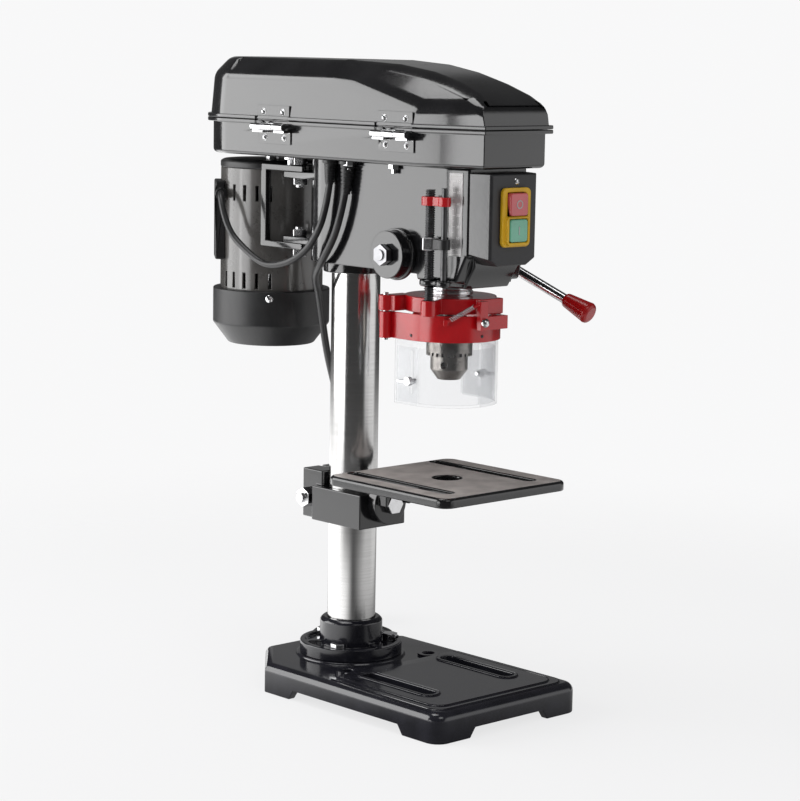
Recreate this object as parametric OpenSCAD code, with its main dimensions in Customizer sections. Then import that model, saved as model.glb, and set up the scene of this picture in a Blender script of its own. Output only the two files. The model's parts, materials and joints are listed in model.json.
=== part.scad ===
// Benchtop drill press: base, round column, tilting table, belt-driven head with chuck guard.
// Millimetres. +X is the user's right, +Y the back, +Z up. Origin: column axis on the bench.

/* [Base] */
// Width of the base
base_w = 182; // [160:1:220]
// Front edge of the base ahead of the spindle axis
base_ahead = 88; // [70:1:110]
// Rear edge of the base measured from the column axis
base_rear = 74; // [64:1:100]
// Height of the base border
base_h = 28; // [24:1:34]
// Height of the raised work pad above the border
pad_h = 2; // [1:0.5:4]
// Distance of the ledge round the pad from the edge
ledge_in = 9; // [8:0.5:10]
// Distance of the work pad from the edge
pad_in = 16; // [13:0.5:18]
// Thickness of the base top plate
base_plate_t = 7; // [5:0.5:10]
// Thickness of the base skirt
base_wall = 8; // [6:0.5:12]
// Radius of the front corners
base_corner_r = 14; // [8:1:20]
// Length of each rear chamfer along X
base_chamfer_x = 46; // [30:1:56]
// Length of each rear chamfer along Y
base_chamfer_y = 54; // [30:1:60]
// Height of the notches between the feet
foot_notch_h = 9; // [5:0.5:12]
// Half width of the front and rear notch
foot_notch_x = 43; // [30:1:52]
// Length of each front foot
foot_front_l = 52; // [40:1:60]
// Rear end of the side notches measured in front of the column
foot_rear_y = 21; // [10:1:30]
// Slant of the notch ends
foot_slant = 7; // [0:0.5:8]
// Distance of each bench bolt hole from the middle plane
bench_hole_x = 52; // [46:1:60]
// Distance of the bench bolt holes in front of the column
bench_hole_y = 54; // [48:1:58]
// Diameter of the bench bolt holes
bench_hole_d = 11; // [8:0.5:13]
// Distance of each work slot from the middle plane
base_slot_x = 50; // [40:1:60]
// Width of the base work slots
base_slot_w = 14; // [10:1:18]
// Length of the base work slots
base_slot_l = 92; // [60:1:110]
// Distance of the slot middles behind the spindle axis
base_slot_y = 6; // [0:1:12]

/* [Column] */
// Diameter of the column
column_d = 46; // [40:1:52]
// Wall of the column tube
column_wall = 4; // [2.5:0.5:6]
// Length of the column
column_l = 468; // [440:1:600]
// Radial clearance between the column and what is clamped on it
column_fit = 0.05; // [0.02:0.01:0.1]
// Diameter of the column flange
flange_d = 98; // [94:1:110]
// Thickness of the column flange
flange_t = 9; // [6:0.5:10]
// Height of the flange rim above its plate
flange_rim_h = 3; // [2:0.5:6]
// Width of the flange rim
flange_rim_w = 6; // [4:0.5:8]
// Diameter of the flange collar
flange_collar_d = 60; // [56:1:64]
// Height of the flange collar
flange_collar_h = 35; // [25:1:42]
// Radius of the flange bolt circle
flange_bolt_r = 38.5; // [37:0.5:40]
// Width across the corners of the bolt heads
bolt_head_d = 13; // [11:0.5:13.5]
// Height of the bolt heads
bolt_head_h = 7; // [4:0.5:8]
// Diameter of the bolt shanks
bolt_d = 8; // [6:0.5:9]
// Radial clearance of bolts in their holes
bolt_fit = 0.2; // [0.1:0.05:0.4]

/* [Head] */
// Half width of the head casting
head_hw = 43; // [41:0.5:46]
// Underside of the head
head_bottom = 407; // [402:1:412]
// Top of the head
head_top = 503; // [500:1:506]
// Front of the wide part of the head ahead of the spindle axis
head_ahead = 38; // [36:1:40]
// Half width of the front housing under its side panels
nose_hw = 28; // [27:0.5:32]
// Front of the front housing ahead of the spindle axis
nose_ahead = 58; // [54:1:62]
// Underside of the front end of the side panels
panel_step = 425; // [422:0.5:428]
// Underside of the rear end of the side panels
panel_low = 402; // [401:0.5:404]
// Width of the depth scale
scale_w = 13; // [10:0.5:16]
// Underside of the depth scale
scale_z = 426; // [424:1:430]
// Height of the depth scale
scale_h = 73; // [60:1:74]
// Underside of the front housing below the switch box
nose_step = 416; // [412:1:420]
// Lower end of the quill barrel
nose_bottom = 396; // [394:0.5:398]
// Distance of the spindle axis in front of the column
throat = 128; // [124:1:134]
// Radius of the boss around the column under the head
head_boss_r = 31; // [28:0.5:34]
// Height of the boss around the column
head_boss_h = 10; // [6:1:14]
// Height of the feed shaft axis
feed_z = 423; // [421:0.5:425]
// Depth of the motor lugs behind the column
lug_back = 60; // [58:0.5:64]
// Thickness of the motor lugs
lug_t = 6; // [5:0.5:8]
// Underside of the upper motor lug
lug_top_z = 483; // [480:1:484]
// Underside of the lower motor lug
lug_low_z = 422; // [420:1:426]
// Half width of the motor lugs
lug_hw = 40; // [38:0.5:43]
// Distance of the lug bolts from the middle plane
lug_bolt_x = 30; // [28:0.5:32]
// Distance of the lug bolts behind the column
lug_bolt_y = 48; // [46:0.5:50]

/* [Quill] */
// Diameter of the quill
quill_d = 36; // [34:0.5:38]
// Radial running fit of the quill
quill_fit = 0.03; // [0.02:0.01:0.06]
// Length of the quill
quill_len = 98; // [94:1:100]
// Lower end of the quill at rest
quill_bottom = 372; // [371:0.5:372]
// Quill stroke allowed by the depth stop
stroke = 24; // [10:1:24]
// Diameter of the spindle
spindle_d = 14; // [12:0.5:16]
// Radial running fit of the spindle
spindle_fit = 0.05; // [0.02:0.01:0.08]
// Top of the spindle
spindle_top = 566; // [556:1:570]
// Pitch radius of the feed pinion
pinion_r = 8.5; // [8:0.25:9]
// Number of pinion teeth
pinion_n = 14; // [14:1:14]
// Depth of the rack pitch line below the quill surface
rack_depth = 2.5; // [2:0.1:3]
// Outer diameter of the bright rings under the quill
ring_d = 41; // [39:0.5:43]

/* [Chuck] */
// Diameter of the chuck body
chuck_d = 34; // [32:0.5:36]
// Diameter of the toothed chuck sleeve
sleeve_d = 42; // [40:0.5:44]
// Lower end of the chuck
chuck_bottom = 309; // [305:0.5:312]
// Upper end of the chuck
chuck_top = 368; // [364:0.5:370]
// Lower edge of the toothed sleeve
sleeve_low = 331; // [330:0.5:333]
// Height of the toothed sleeve
sleeve_h = 24; // [20:0.5:26]
// Diameter of each jaw
jaw_d = 6.5; // [6:0.25:7]
// Clearance between sliding chuck parts
chuck_fit = 0.1; // [0.05:0.05:0.2]
// Lean of the jaws from the spindle axis
jaw_lean = 15; // [14:0.5:16]

/* [Feed] */
// Diameter of the feed shaft
feed_d = 14; // [13:0.5:15]
// Radial running fit of the feed shaft
feed_fit = 0.05; // [0.02:0.01:0.08]
// Outer face of the return spring cap
cap_face = 58; // [56:0.5:60]
// Diameter of the return spring cap
cap_d = 43; // [41:0.5:45]
// Outer end of the feed hub
hub_end = 72; // [68:1:76]
// Diameter of the feed hub
hub_d = 34; // [30:0.5:36]
// Reach of each spoke from the feed axis to the middle of its knob
spoke_reach = 115; // [105:1:125]
// Outward offset of each knob
spoke_out = 20; // [16:1:24]
// Diameter of the spokes
spoke_d = 9; // [8:0.5:10]
// Angle of the first spoke below the horizontal
spoke_drop = 23.5; // [15:0.5:30]
// Length of the spoke knobs
knob_len = 30; // [26:1:36]
// Diameter of the outer end of the knobs
knob_d = 20; // [16:0.5:22]

/* [Depth stop] */
// Diameter of the threaded stop rod
stop_d = 9; // [8:0.5:9.5]
// Distance of the stop rod from the middle plane
stop_x = 53; // [52.5:0.5:54]
// Distance of the stop rod ahead of the spindle axis
stop_ahead = 27; // [25:0.5:28]
// Top of the stop rod
stop_top = 484; // [480:1:488]
// Diameter of the guide rod
guide_d = 5; // [4.5:0.25:5.5]
// Distance of the guide rod ahead of the spindle axis
guide_ahead = 45; // [44:0.5:48]
// Length of the guide rod
guide_l = 87; // [80:1:90]
// Underside of the depth pointer
pointer_z = 470; // [466:0.5:472]
// Height of the depth pointer
pointer_h = 8; // [6:0.5:9]
// Clearance of parts that slide on the rods
rod_fit = 0.3; // [0.25:0.05:0.4]
// Underside of the stop nut at rest
nut_z = 431; // [431:0.5:433]
// Height of the stop nut
nut_h = 11; // [9:0.5:12]
// Underside of the head ear that holds the rods
ear_z = 399; // [398:0.5:400]
// Thickness of the head ear
ear_t = 6; // [5:0.5:6]

/* [Guard] */
// Radius of the guard skirt round the spindle
skirt_r = 46; // [45:0.5:48]
// Thickness of the guard skirt
skirt_t = 1.5; // [1.25:0.25:2]
// Underside of the guard skirt
skirt_z = 347; // [346:0.5:348]
// Height of the guard skirt
skirt_h = 24; // [22:0.5:24.5]
// Rear end of the skirt sides behind the spindle axis
skirt_behind = 28; // [26:0.5:38]
// Thickness of the clear shield
shield_t = 2; // [1.5:0.25:2.5]
// Underside of the clear shield
shield_z = 288; // [286:0.5:290]
// Rear end of the clear shield behind the spindle axis
shield_behind = 25; // [22:0.5:27]
// Height of the shield screws above the shield's lower edge
screw_up = 22; // [20:0.5:24]
// Height of the guard collar
collar_h = 14; // [12:0.5:15]
// Outer radius of the guard collar
collar_r = 42; // [40:0.5:43]
// Clearance between the collar and the skirt under it
collar_gap = 1; // [0.5:0.1:2]
// Diameter of the guard hinge pin
pin_d = 5; // [4.5:0.25:6]
// Radial running fit of the guard hinge pin
pin_fit = 0.05; // [0.02:0.01:0.08]

/* [Belt drive] */
// Distance of the motor axis behind the column
motor_y = 124; // [120:1:126]
// Half width of the belt cover
cover_hw = 60; // [58:0.5:62]
// Half width of the belt cover at its front
cover_front_hw = 40; // [36:0.5:44]
// Front of the belt cover ahead of the spindle axis
cover_ahead = 80; // [76:1:84]
// Start of the front taper ahead of the spindle axis
taper_ahead = 10; // [4:1:18]
// Seam between tray and lid
seam_z = 537; // [536:0.5:538]
// Top of the lid
lid_top = 595; // [590:1:598]
// Slope of the shoulders of the lid
shoulder_turn = 46; // [40:1:50]
// Wall of tray and lid
cover_wall = 2.5; // [2:0.25:3]
// Projection of the seam flanges
seam_out = 3; // [2:0.5:3.5]
// Thickness of each seam flange
seam_t = 3.5; // [3:0.25:4]
// Gap between the two seam flanges
seam_gap = 0.5; // [0.4:0.1:0.8]
// Height of one pulley step
step_h = 13; // [12:0.5:13.5]
// Smallest pulley step radius
step_r0 = 24; // [22:0.5:25]
// Growth of the radius from step to step
step_dr = 7; // [6:0.5:7]
// Underside of the lowest pulley step
pulley_z = 510; // [509:0.5:511]
// Depth of the belt grooves
groove = 8; // [7.5:0.25:8.5]
// Radial thickness of the belt
belt_t = 6; // [5.5:0.25:6]
// Height of the belt
belt_h = 8; // [7:0.25:8]
// Hinge pin distance from the middle plane
hinge_x = 67; // [66:0.5:68]
// Hinge pin height
hinge_z = 531; // [530:0.5:532]
// Outer radius of the hinge knuckles
knuckle_r = 3.2; // [3:0.1:3.4]
// Length of each hinge
hinge_l = 46; // [40:1:50]
// Distance of the rear hinge behind the column
hinge_rear = 52; // [44:1:60]
// Distance of the front hinge behind the spindle axis
hinge_fore = 13; // [8:1:18]
// Projection of the hinge leaves from the cover
leaf_out = 1.5; // [1:0.1:2]
// Thickness of the hinge leaves
leaf_t = 1; // [0.8:0.1:1.2]

/* [Motor] */
// Radius of the motor body
motor_r = 50; // [48:0.5:51]
// Underside of the motor body tube
motor_low = 362; // [358:1:366]
// Top of the motor body tube
motor_top = 489; // [486:0.5:490]
// Height of the motor end cap
motor_cap_h = 8; // [6:0.5:9]
// Radius of the fan cover
fan_r = 57; // [55:0.5:58]
// Underside of the fan cover
fan_low = 318; // [314:1:322]
// Upper edge of the fan cover
fan_top = 372; // [369:1:376]
// Height of the fan cover chamfer
fan_chamfer_h = 20; // [16:1:24]
// Width of the fan cover chamfer
fan_chamfer_w = 15; // [12:1:18]
// Diameter of the motor shaft
motor_shaft_d = 14; // [12:0.5:15]
// Belt slackening travel of the motor
motor_travel = 8; // [5:0.5:9]
// Height of the terminal box
box_h = 76; // [70:1:80]
// Underside of the terminal box
box_z = 400; // [396:1:404]

/* [Switch] */
// Half width of the switch box
switch_hw = 28; // [27:0.5:29]
// Front of the switch box ahead of the spindle axis
switch_ahead = 78; // [76:0.5:80]
// Underside of the switch box
switch_z = 418; // [417:0.5:420]
// Height of the switch box
switch_h = 81; // [79:0.5:82]
// Width of the switch plate
plate_w = 35; // [33:0.5:38]
// Height of the switch plate
plate_h = 52; // [51:0.5:58]
// Middle height of the switch plate
plate_z = 461; // [459:0.5:463]
// Travel of the push buttons
button_travel = 3; // [2:0.25:3.5]
// Clearance round the push buttons
button_fit = 0.4; // [0.3:0.05:0.6]

/* [Table] */
// Width and depth of the table
table_w = 158; // [150:1:164]
// Top of the table
table_top = 217.5; // [214:0.5:220]
// Height of the table rim
table_h = 9; // [8:0.5:11]
// Thickness of the table plate between its ribs
table_plate_t = 5.5; // [5:0.25:7]
// Diameter of the hole in the table middle
table_hole_d = 26; // [22:0.5:30]
// Distance of each table slot from the middle plane
table_slot_x = 52; // [46:1:56]
// Width of the table slots
table_slot_w = 12; // [10:0.5:16]
// Radius of the table corners
table_r = 12; // [8:0.5:16]
// Length of the table slots
table_slot_l = 134; // [100:1:138]
// Distance of the slot middles behind the spindle axis
table_slot_y = 7; // [0:0.5:8]
// Height of the table tilt axis
tilt_z = 182; // [180:0.5:184]
// Half width of the table bracket
bracket_hw = 29; // [28:0.5:31]
// Underside of the table bracket
bracket_low = 158; // [156:0.5:160]
// Height of the table bracket
bracket_h = 33; // [32:0.5:35]
// Front face of the table bracket
bracket_front = 42; // [40:0.5:43]
// Radius of the tilt disc
tilt_r = 20; // [18:0.5:21]
// Height of the clamp ears behind the column
clamp_h = 47; // [40:1:50]
// Distance of the clamp bolt behind the column
clamp_y = 38; // [36:0.5:40]
// Depth of the clamp bolt below the tilt axis
clamp_drop = 4; // [2:0.5:6]

/* [Hidden] */
$fn = 96;
column_r = column_d / 2;
base_top = base_h + pad_h;
head_seat = 498;
column_top = base_top + column_l;
rise = column_top - head_seat;
base_front = throat + base_ahead;
head_front = throat + head_ahead;
nose_front = throat + nose_ahead;
switch_front = throat + switch_ahead;
stop_y = throat + stop_ahead;
guide_y = throat + guide_ahead;
skirt_back = throat - skirt_behind;
shield_back = throat - shield_behind;
cover_front = throat + cover_ahead;
cover_taper = throat + taper_ahead;
hinge_y = [hinge_rear, hinge_fore - throat];
panel_run = head_hw - switch_hw;
panel_l = norm([panel_run, switch_front - head_front]);
panel_turn = -acos(panel_run / panel_l);
nose_side = head_hw - panel_run * (nose_front - head_front) / (switch_front - head_front);
screw_z = shield_z + screw_up;
clamp_z = tilt_z - clamp_drop;
flange_top = base_top + flange_t;
quill_r = quill_d / 2;
quill_top = quill_bottom + quill_len;
feed_y = -throat + quill_r - rack_depth + pinion_r;
pitch = 2 * PI * pinion_r / pinion_n;
module_m = 2 * pinion_r / pinion_n;
collar_z = skirt_z + skirt_h + collar_gap;
hinge_pin_x = skirt_r + 3;
hinge_pin_y = skirt_back - 5;
stop_reach = norm([stop_x, stop_y - throat]);
black = [0.05, 0.05, 0.055];
steel = [0.72, 0.73, 0.75];
red = [0.75, 0.05, 0.05];

// A bar with round ends along Y
module slot2d(w, l) {
  square([w, l - w], center = true);
  translate([0, (l - w) / 2]) circle(d = w);
  translate([0, -(l - w) / 2]) circle(d = w);
}

// A rectangle with round corners about the origin
module round2d(w, h, r) {
  square([w, h - 2 * r], center = true);
  square([w - 2 * r, h], center = true);
  for (i = [-1, 1], j = [-1, 1]) translate([i * (w / 2 - r), j * (h / 2 - r)]) circle(r);
}

// A hexagon prism on the Z axis
module hex(d, h) {
  cylinder(d = d / cos(30), h = h, $fn = 6);
}

// Smooth points through hand-set stations
function spline_at(p, i, t) =
  let (a = p[max(i - 1, 0)], b = p[i], c = p[i + 1], d = p[min(i + 2, len(p) - 1)])
  0.5 * (2 * b + (c - a) * t + (2 * a - 5 * b + 4 * c - d) * t * t + (3 * b - a - 3 * c + d) * t * t * t);
function spline(p, n) = concat(
  [for (i = [0 : len(p) - 2], k = [0 : n - 1]) spline_at(p, i, k / n)], [p[len(p) - 1]]);
function unit(v) = v / norm(v);
function tangents(p) = [for (i = [0 : len(p) - 1]) unit(p[min(i + 1, len(p) - 1)] - p[max(i - 1, 0)])];
function side_of(t, s) = unit(s - (s * t) * t);
function first_side(t) = side_of(t, abs(t[2]) < 0.8 ? [0, 0, 1] : [1, 0, 0]);
function sides_of(t) = [for (i = 0, s = first_side(t[0]); i < len(t);
  i = i + 1, s = i < len(t) ? side_of(t[i], s) : s) s];

// A round tube along points
module tube(p, r, n) {
  t = tangents(p);
  s = sides_of(t);
  m = len(p);
  pts = [for (i = [0 : m - 1], k = [0 : n - 1])
    p[i] + r * (cos(360 * k / n) * s[i] + sin(360 * k / n) * cross(t[i], s[i]))];
  near = [for (i = [0 : m - 2], k = [0 : n - 1]) [i * n + k, (i + 1) * n + k, (i + 1) * n + (k + 1) % n]];
  far = [for (i = [0 : m - 2], k = [0 : n - 1]) [i * n + k, (i + 1) * n + (k + 1) % n, i * n + (k + 1) % n]];
  first = [for (k = [1 : n - 2]) [0, k, k + 1]];
  last = [for (k = [1 : n - 2]) (m - 1) * n * [1, 1, 1] + [0, k + 1, k]];
  polyhedron(pts, concat(near, far, first, last), convexity = 12);
}

// The least gap between parts of one tube that are at least skip stations apart
function self_gap(p, r, skip) = min([for (i = [0 : len(p) - 1 - skip])
  min([for (j = [i + skip : len(p) - 1]) norm(p[i] - p[j])])]) - 2 * r;

module base_plan(e) {
  w = base_w / 2 - e;
  f = base_front - e;
  b = base_rear - e;
  r = base_corner_r;
  cx = base_chamfer_x;
  cy = base_chamfer_y;
  polygon([[-w, -f + r], [-w + r, -f], [w - r, -f], [w, -f + r], [w, b - cy], [w - cx, b],
    [-w + cx, b], [-w, b - cy]]);
  for (s = [-1, 1]) translate([s * (w - r), -f + r]) circle(r);
}

// A foot notch with slanted ends
module notch2d(a, b) {
  polygon([[a - foot_slant, -1], [b + foot_slant, -1], [b, foot_notch_h], [a, foot_notch_h]]);
}

// One step of the raised work pad
module work_pad(e, h) {
  translate([0, 0, base_h - 1]) linear_extrude(h + 1) intersection() {
    base_plan(e);
    translate([-base_w, -base_front]) square([2 * base_w, base_front - throat / 2]);
  }
}

module base() {
  color(black) difference() {
    union() {
      difference() {
        linear_extrude(base_h) base_plan(0);
        translate([0, 0, -1]) linear_extrude(base_h - base_plate_t + 1) base_plan(base_wall);
        translate([-base_w, 0, 0]) rotate([90, 0, 90]) linear_extrude(2 * base_w)
          notch2d(-base_front + foot_front_l, -foot_rear_y);
        for (y = [-base_front - 1, base_rear - base_wall - 1]) translate([0, y + base_wall + 2, 0])
          rotate([90, 0, 0]) linear_extrude(base_wall + 2) notch2d(-foot_notch_x, foot_notch_x);
      }
      work_pad(ledge_in, pad_h / 2);
      work_pad(pad_in, pad_h);
      cylinder(d = flange_d + 6, h = base_top);
      for (s = [-1, 1]) translate([s * bench_hole_x, -bench_hole_y, 0])
        cylinder(d = bench_hole_d + 10, h = base_top);
      for (s = [-1, 1]) translate([s * base_slot_x, base_slot_y - throat, base_h - base_plate_t - 3])
        linear_extrude(base_plate_t + pad_h + 4.2) slot2d(base_slot_w + 8, base_slot_l + 8);
    }
    for (s = [-1, 1]) translate([s * bench_hole_x, -bench_hole_y, -1])
      cylinder(d = bench_hole_d, h = base_top + 2);
    for (s = [-1, 1]) translate([s * base_slot_x, base_slot_y - throat, -1])
      linear_extrude(base_top + 4) slot2d(base_slot_w, base_slot_l);
    for (a = [90, 210, 330]) rotate(a) translate([flange_bolt_r, 0, 8])
      cylinder(d = bolt_d + 2 * bolt_fit, h = base_top);
  }
}

module column_flange() {
  color(black) difference() {
    union() {
      translate([0, 0, base_top]) cylinder(d = flange_d, h = flange_t);
      translate([0, 0, base_top]) difference() {
        cylinder(d = flange_d, h = flange_t + flange_rim_h);
        translate([0, 0, flange_t - 1]) cylinder(d = flange_d - 2 * flange_rim_w, h = flange_rim_h + 2);
      }
      translate([0, 0, base_top]) cylinder(d = flange_collar_d, h = flange_collar_h - 3);
      translate([0, 0, base_top + flange_collar_h - 3])
        cylinder(d1 = flange_collar_d, d2 = flange_collar_d - 6, h = 3);
      for (a = [30, 150, 270]) rotate(a) translate([column_r + 2, -3.5, base_top])
        cube([flange_d / 2 - column_r - 4, 7, flange_t + flange_rim_h]);
    }
    translate([0, 0, base_top - 1]) cylinder(r = column_r + column_fit, h = flange_collar_h + 2);
    for (a = [90, 210, 330]) rotate(a) translate([flange_bolt_r, 0, base_top - 1])
      cylinder(d = bolt_d + 2 * bolt_fit, h = flange_t + 2);
    for (a = [90, 210, 330]) rotate(a) translate([flange_bolt_r, 0, flange_top])
      cylinder(d = bolt_head_d / cos(30) + 1, h = flange_collar_h);
  }
}

module flange_bolts() {
  color(steel) for (a = [90, 210, 330]) rotate(a) translate([flange_bolt_r, 0, flange_top]) {
    hex(bolt_head_d, bolt_head_h);
    translate([0, 0, -24]) cylinder(d = bolt_d, h = 25);
  }
}

module column() {
  color(steel) translate([0, 0, base_top]) difference() {
    cylinder(r = column_r, h = column_top - base_top);
    translate([0, 0, -1]) cylinder(r = column_r - column_wall, h = column_top);
  }
}

module head() {
  color(black) difference() {
    union() {
      translate([0, 0, head_bottom]) linear_extrude(head_top - head_bottom) {
        circle(head_hw);
        translate([-head_hw, -head_front]) square([2 * head_hw, head_front]);
      }
      intersection() {
        translate([0, 0, panel_low]) linear_extrude(head_top - panel_low)
          polygon([[-head_hw, -throat], [-head_hw, -head_front], [-nose_side, -nose_front],
            [nose_side, -nose_front], [head_hw, -head_front], [head_hw, -throat]]);
        translate([-head_hw - 1, 0, 0]) rotate([90, 0, 90]) linear_extrude(2 * head_hw + 2)
          polygon([[-throat, head_top], [-nose_front, head_top], [-nose_front, panel_step],
            [-nose_front + 2, panel_step], [-nose_front + 11, panel_low], [-throat, panel_low]]);
      }
      translate([-nose_hw, 0, 0]) rotate([90, 0, 90]) linear_extrude(2 * nose_hw)
        polygon([[-throat - 22, head_top], [-nose_front, head_top], [-nose_front, nose_step],
          [-nose_front + 12, nose_bottom], [-throat, nose_bottom], [-throat, head_top]]);
      translate([0, -throat, nose_bottom]) cylinder(r = nose_hw, h = 20);
      translate([0, 0, head_bottom - head_boss_h]) cylinder(r = head_boss_r, h = head_boss_h + 1);
      for (z = [lug_low_z, lug_top_z]) translate([-lug_hw, 0, z]) cube([2 * lug_hw, lug_back, lug_t]);
      translate([-stop_x - 1, -stop_y - 6, ear_z]) cube([24, 14, ear_t]);
      translate([-head_hw + 0.5, -stop_y - 4, ear_z]) cube([9, 10, head_bottom - ear_z + 2]);
      translate([-stop_x, -stop_y, ear_z]) cylinder(d = stop_d + 8, h = ear_t);
      translate([-stop_x, -guide_y, ear_z]) cylinder(d = guide_d + 8, h = ear_t);
      translate([-stop_x - 4, -guide_y, ear_z]) cube([8, guide_y - stop_y, ear_t]);
    }
    translate([0, 0, head_bottom - head_boss_h - 1])
      cylinder(r = column_r + column_fit, h = head_seat - head_bottom + head_boss_h + 1);
    translate([0, -throat, nose_bottom - 1])
      cylinder(r = quill_r + quill_fit, h = quill_top - nose_bottom + 4);
    translate([0, -throat, nose_bottom]) cylinder(d = spindle_d + 12 + 2 * spindle_fit, h = 200);
    translate([-head_hw - 2, feed_y, feed_z]) rotate([0, 90, 0])
      cylinder(d = feed_d + 2 * feed_fit, h = 2 * head_hw + 4);
    translate([-12, feed_y, feed_z]) rotate([0, 90, 0]) cylinder(r = pinion_r + 2.5, h = 24);
    translate([-head_hw + 8, -column_r - 55, head_bottom - 1]) cube([2 * head_hw - 16, 40, 84]);
    translate([-stop_x, -stop_y, ear_z - 1]) cylinder(d = stop_d + 2 * rod_fit, h = ear_t + 2);
    translate([-stop_x, -guide_y, ear_z - 1]) cylinder(d = guide_d + 0.02, h = ear_t + 2);
    for (s = [-1, 1], z = [lug_low_z, lug_top_z]) translate([s * lug_bolt_x, lug_bolt_y, z - 1])
      cylinder(d = bolt_d + 2 * bolt_fit, h = lug_t + 2);
  }
}

module spring_cap() {
  color(black) translate([0, feed_y, feed_z]) rotate([0, -90, 0]) difference() {
    union() {
      translate([0, 0, head_hw]) cylinder(d = cap_d + 4, h = 4);
      translate([0, 0, head_hw]) cylinder(d = cap_d, h = cap_face - head_hw);
      translate([14, -14, head_hw]) cylinder(d = 9, h = 6);
    }
    translate([0, 0, head_hw - 1]) cylinder(d = cap_d - 6, h = cap_face - head_hw - 2);
    translate([0, 0, head_hw]) cylinder(d = feed_d - 4 + 2 * rod_fit, h = 40);
  }
}

module return_spring() {
  turns = 4;
  n = 16;
  r0 = feed_d / 2 - 1;
  r1 = cap_d / 2 - 4.5;
  color(steel) translate([0, feed_y, feed_z]) rotate([0, -90, 0]) translate([0, 0, head_hw + 2])
    linear_extrude(cap_face - head_hw - 7) polygon(concat(
      [for (i = [0 : turns * n]) let (r = r0 + (r1 - r0) * i / turns / n)
        r * [cos(360 * i / n), sin(360 * i / n)]],
      [for (i = [turns * n : -1 : 0]) let (r = r0 + 0.6 + (r1 - r0) * i / turns / n)
        r * [cos(360 * i / n), sin(360 * i / n)]]));
}

module depth_scale() {
  color(steel) translate([-head_hw, -head_front, scale_z]) rotate(panel_turn) translate([2, -0.6, 0])
    cube([scale_w, 0.6, scale_h]);
}

module guide_rod() {
  color(black) translate([-stop_x, -guide_y, ear_z]) cylinder(d = guide_d, h = guide_l);
}

module button_hole(z, c) {
  translate([-11 - c, -switch_front - 20, z - 10 - c]) cube([22 + 2 * c, 40, 20 + 2 * c]);
}

module switch_box() {
  color(black) difference() {
    intersection() {
      translate([0, -nose_front, switch_z]) rotate([90, 0, 0]) linear_extrude(switch_front - nose_front)
        polygon([[-nose_side, switch_h], [-nose_side, switch_h / 8], [-nose_side / 2, 0],
          [nose_side / 2, 0], [nose_side, switch_h / 8], [nose_side, switch_h]]);
      linear_extrude(head_top) polygon([[-nose_side, -nose_front], [-switch_hw, -switch_front],
        [switch_hw, -switch_front], [nose_side, -nose_front]]);
    }
    translate([-switch_hw + 3, -switch_front + 3, switch_z + 11])
      cube([2 * switch_hw - 6, switch_front - nose_front, switch_h - 15]);
    for (z = [plate_z - 11.5, plate_z + 11.5]) button_hole(z, button_fit);
  }
}

module switch_plate() {
  color([0.9, 0.72, 0.1]) difference() {
    union() {
      translate([0, -switch_front, plate_z]) rotate([90, 0, 0])
        linear_extrude(3.5) round2d(plate_w, plate_h, 5);
      translate([0, -switch_front, plate_z - 11.5]) rotate([90, 0, 0])
        linear_extrude(6.5) round2d(28, 26, 4);
    }
    for (z = [plate_z - 11.5, plate_z + 11.5]) button_hole(z, button_fit);
  }
}

module button(z) {
  translate([0, -switch_front + 4, z]) rotate([90, 0, 0]) linear_extrude(11) round2d(22, 20, 3);
}

module stop_button() {
  color(red) button(plate_z + 11.5);
}

module start_button() {
  color([0.1, 0.5, 0.15]) button(plate_z - 11.5);
}

module cover_plan(e) {
  h = cover_hw - e;
  f = cover_front_hw - 0.8 * e;
  polygon([[-h, motor_y], [-h, -cover_taper], [-f, -cover_front + e], [f, -cover_front + e],
    [h, -cover_taper], [h, motor_y]]);
  translate([0, motor_y]) circle(h);
}

module hinge_pads(z, h) {
  for (y = hinge_y) translate([-cover_hw - leaf_out, y - hinge_l / 2, z])
    cube([leaf_out + cover_wall + 2, hinge_l, h]);
}

// Room for the hinge leaves in the seam flanges
module leaf_room(z, h) {
  for (y = hinge_y) translate([-cover_hw - 2 * seam_out, y - hinge_l / 2 - 0.3, z])
    cube([2 * seam_out - leaf_out, hinge_l + 0.6, h]);
}

module belt_tray() {
  color(black) difference() {
    union() {
      translate([0, 0, head_top]) linear_extrude(seam_z - head_top) cover_plan(cover_wall);
      translate([0, 0, seam_z - seam_t]) linear_extrude(seam_t) cover_plan(-seam_out);
      hinge_pads(hinge_z - 17, 17 + seam_z - hinge_z - seam_t);
    }
    translate([0, 0, head_top + 3]) linear_extrude(60) cover_plan(2 * cover_wall);
    translate([0, -throat, head_top - 1]) cylinder(d = spindle_d + 18, h = 10);
    translate([0, motor_y - motor_travel / 2, head_top - 1]) linear_extrude(10)
      slot2d(motor_shaft_d + 16, motor_shaft_d + 18 + motor_travel);
    for (s = [-1, 1], y = [-20, -80]) translate([s * 28, y, head_top - 1]) cylinder(d = 5.4, h = 10);
    leaf_room(seam_z - seam_t - 1, seam_t + 2);
  }
}

// Takes off what stands above a shoulder of the lid between two points of its lower edge
module shoulder_cut(x, p, q) {
  for (s = [0, 1]) mirror([s, 0, 0]) translate([-x, p[0], p[1]])
    rotate([atan2(q[1] - p[1], q[0] - p[0]), 0, 0]) rotate([0, -shoulder_turn, 0])
      translate([-100, -2 * cover_front, 0]) cube([200, 4 * cover_front, 100]);
}

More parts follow.
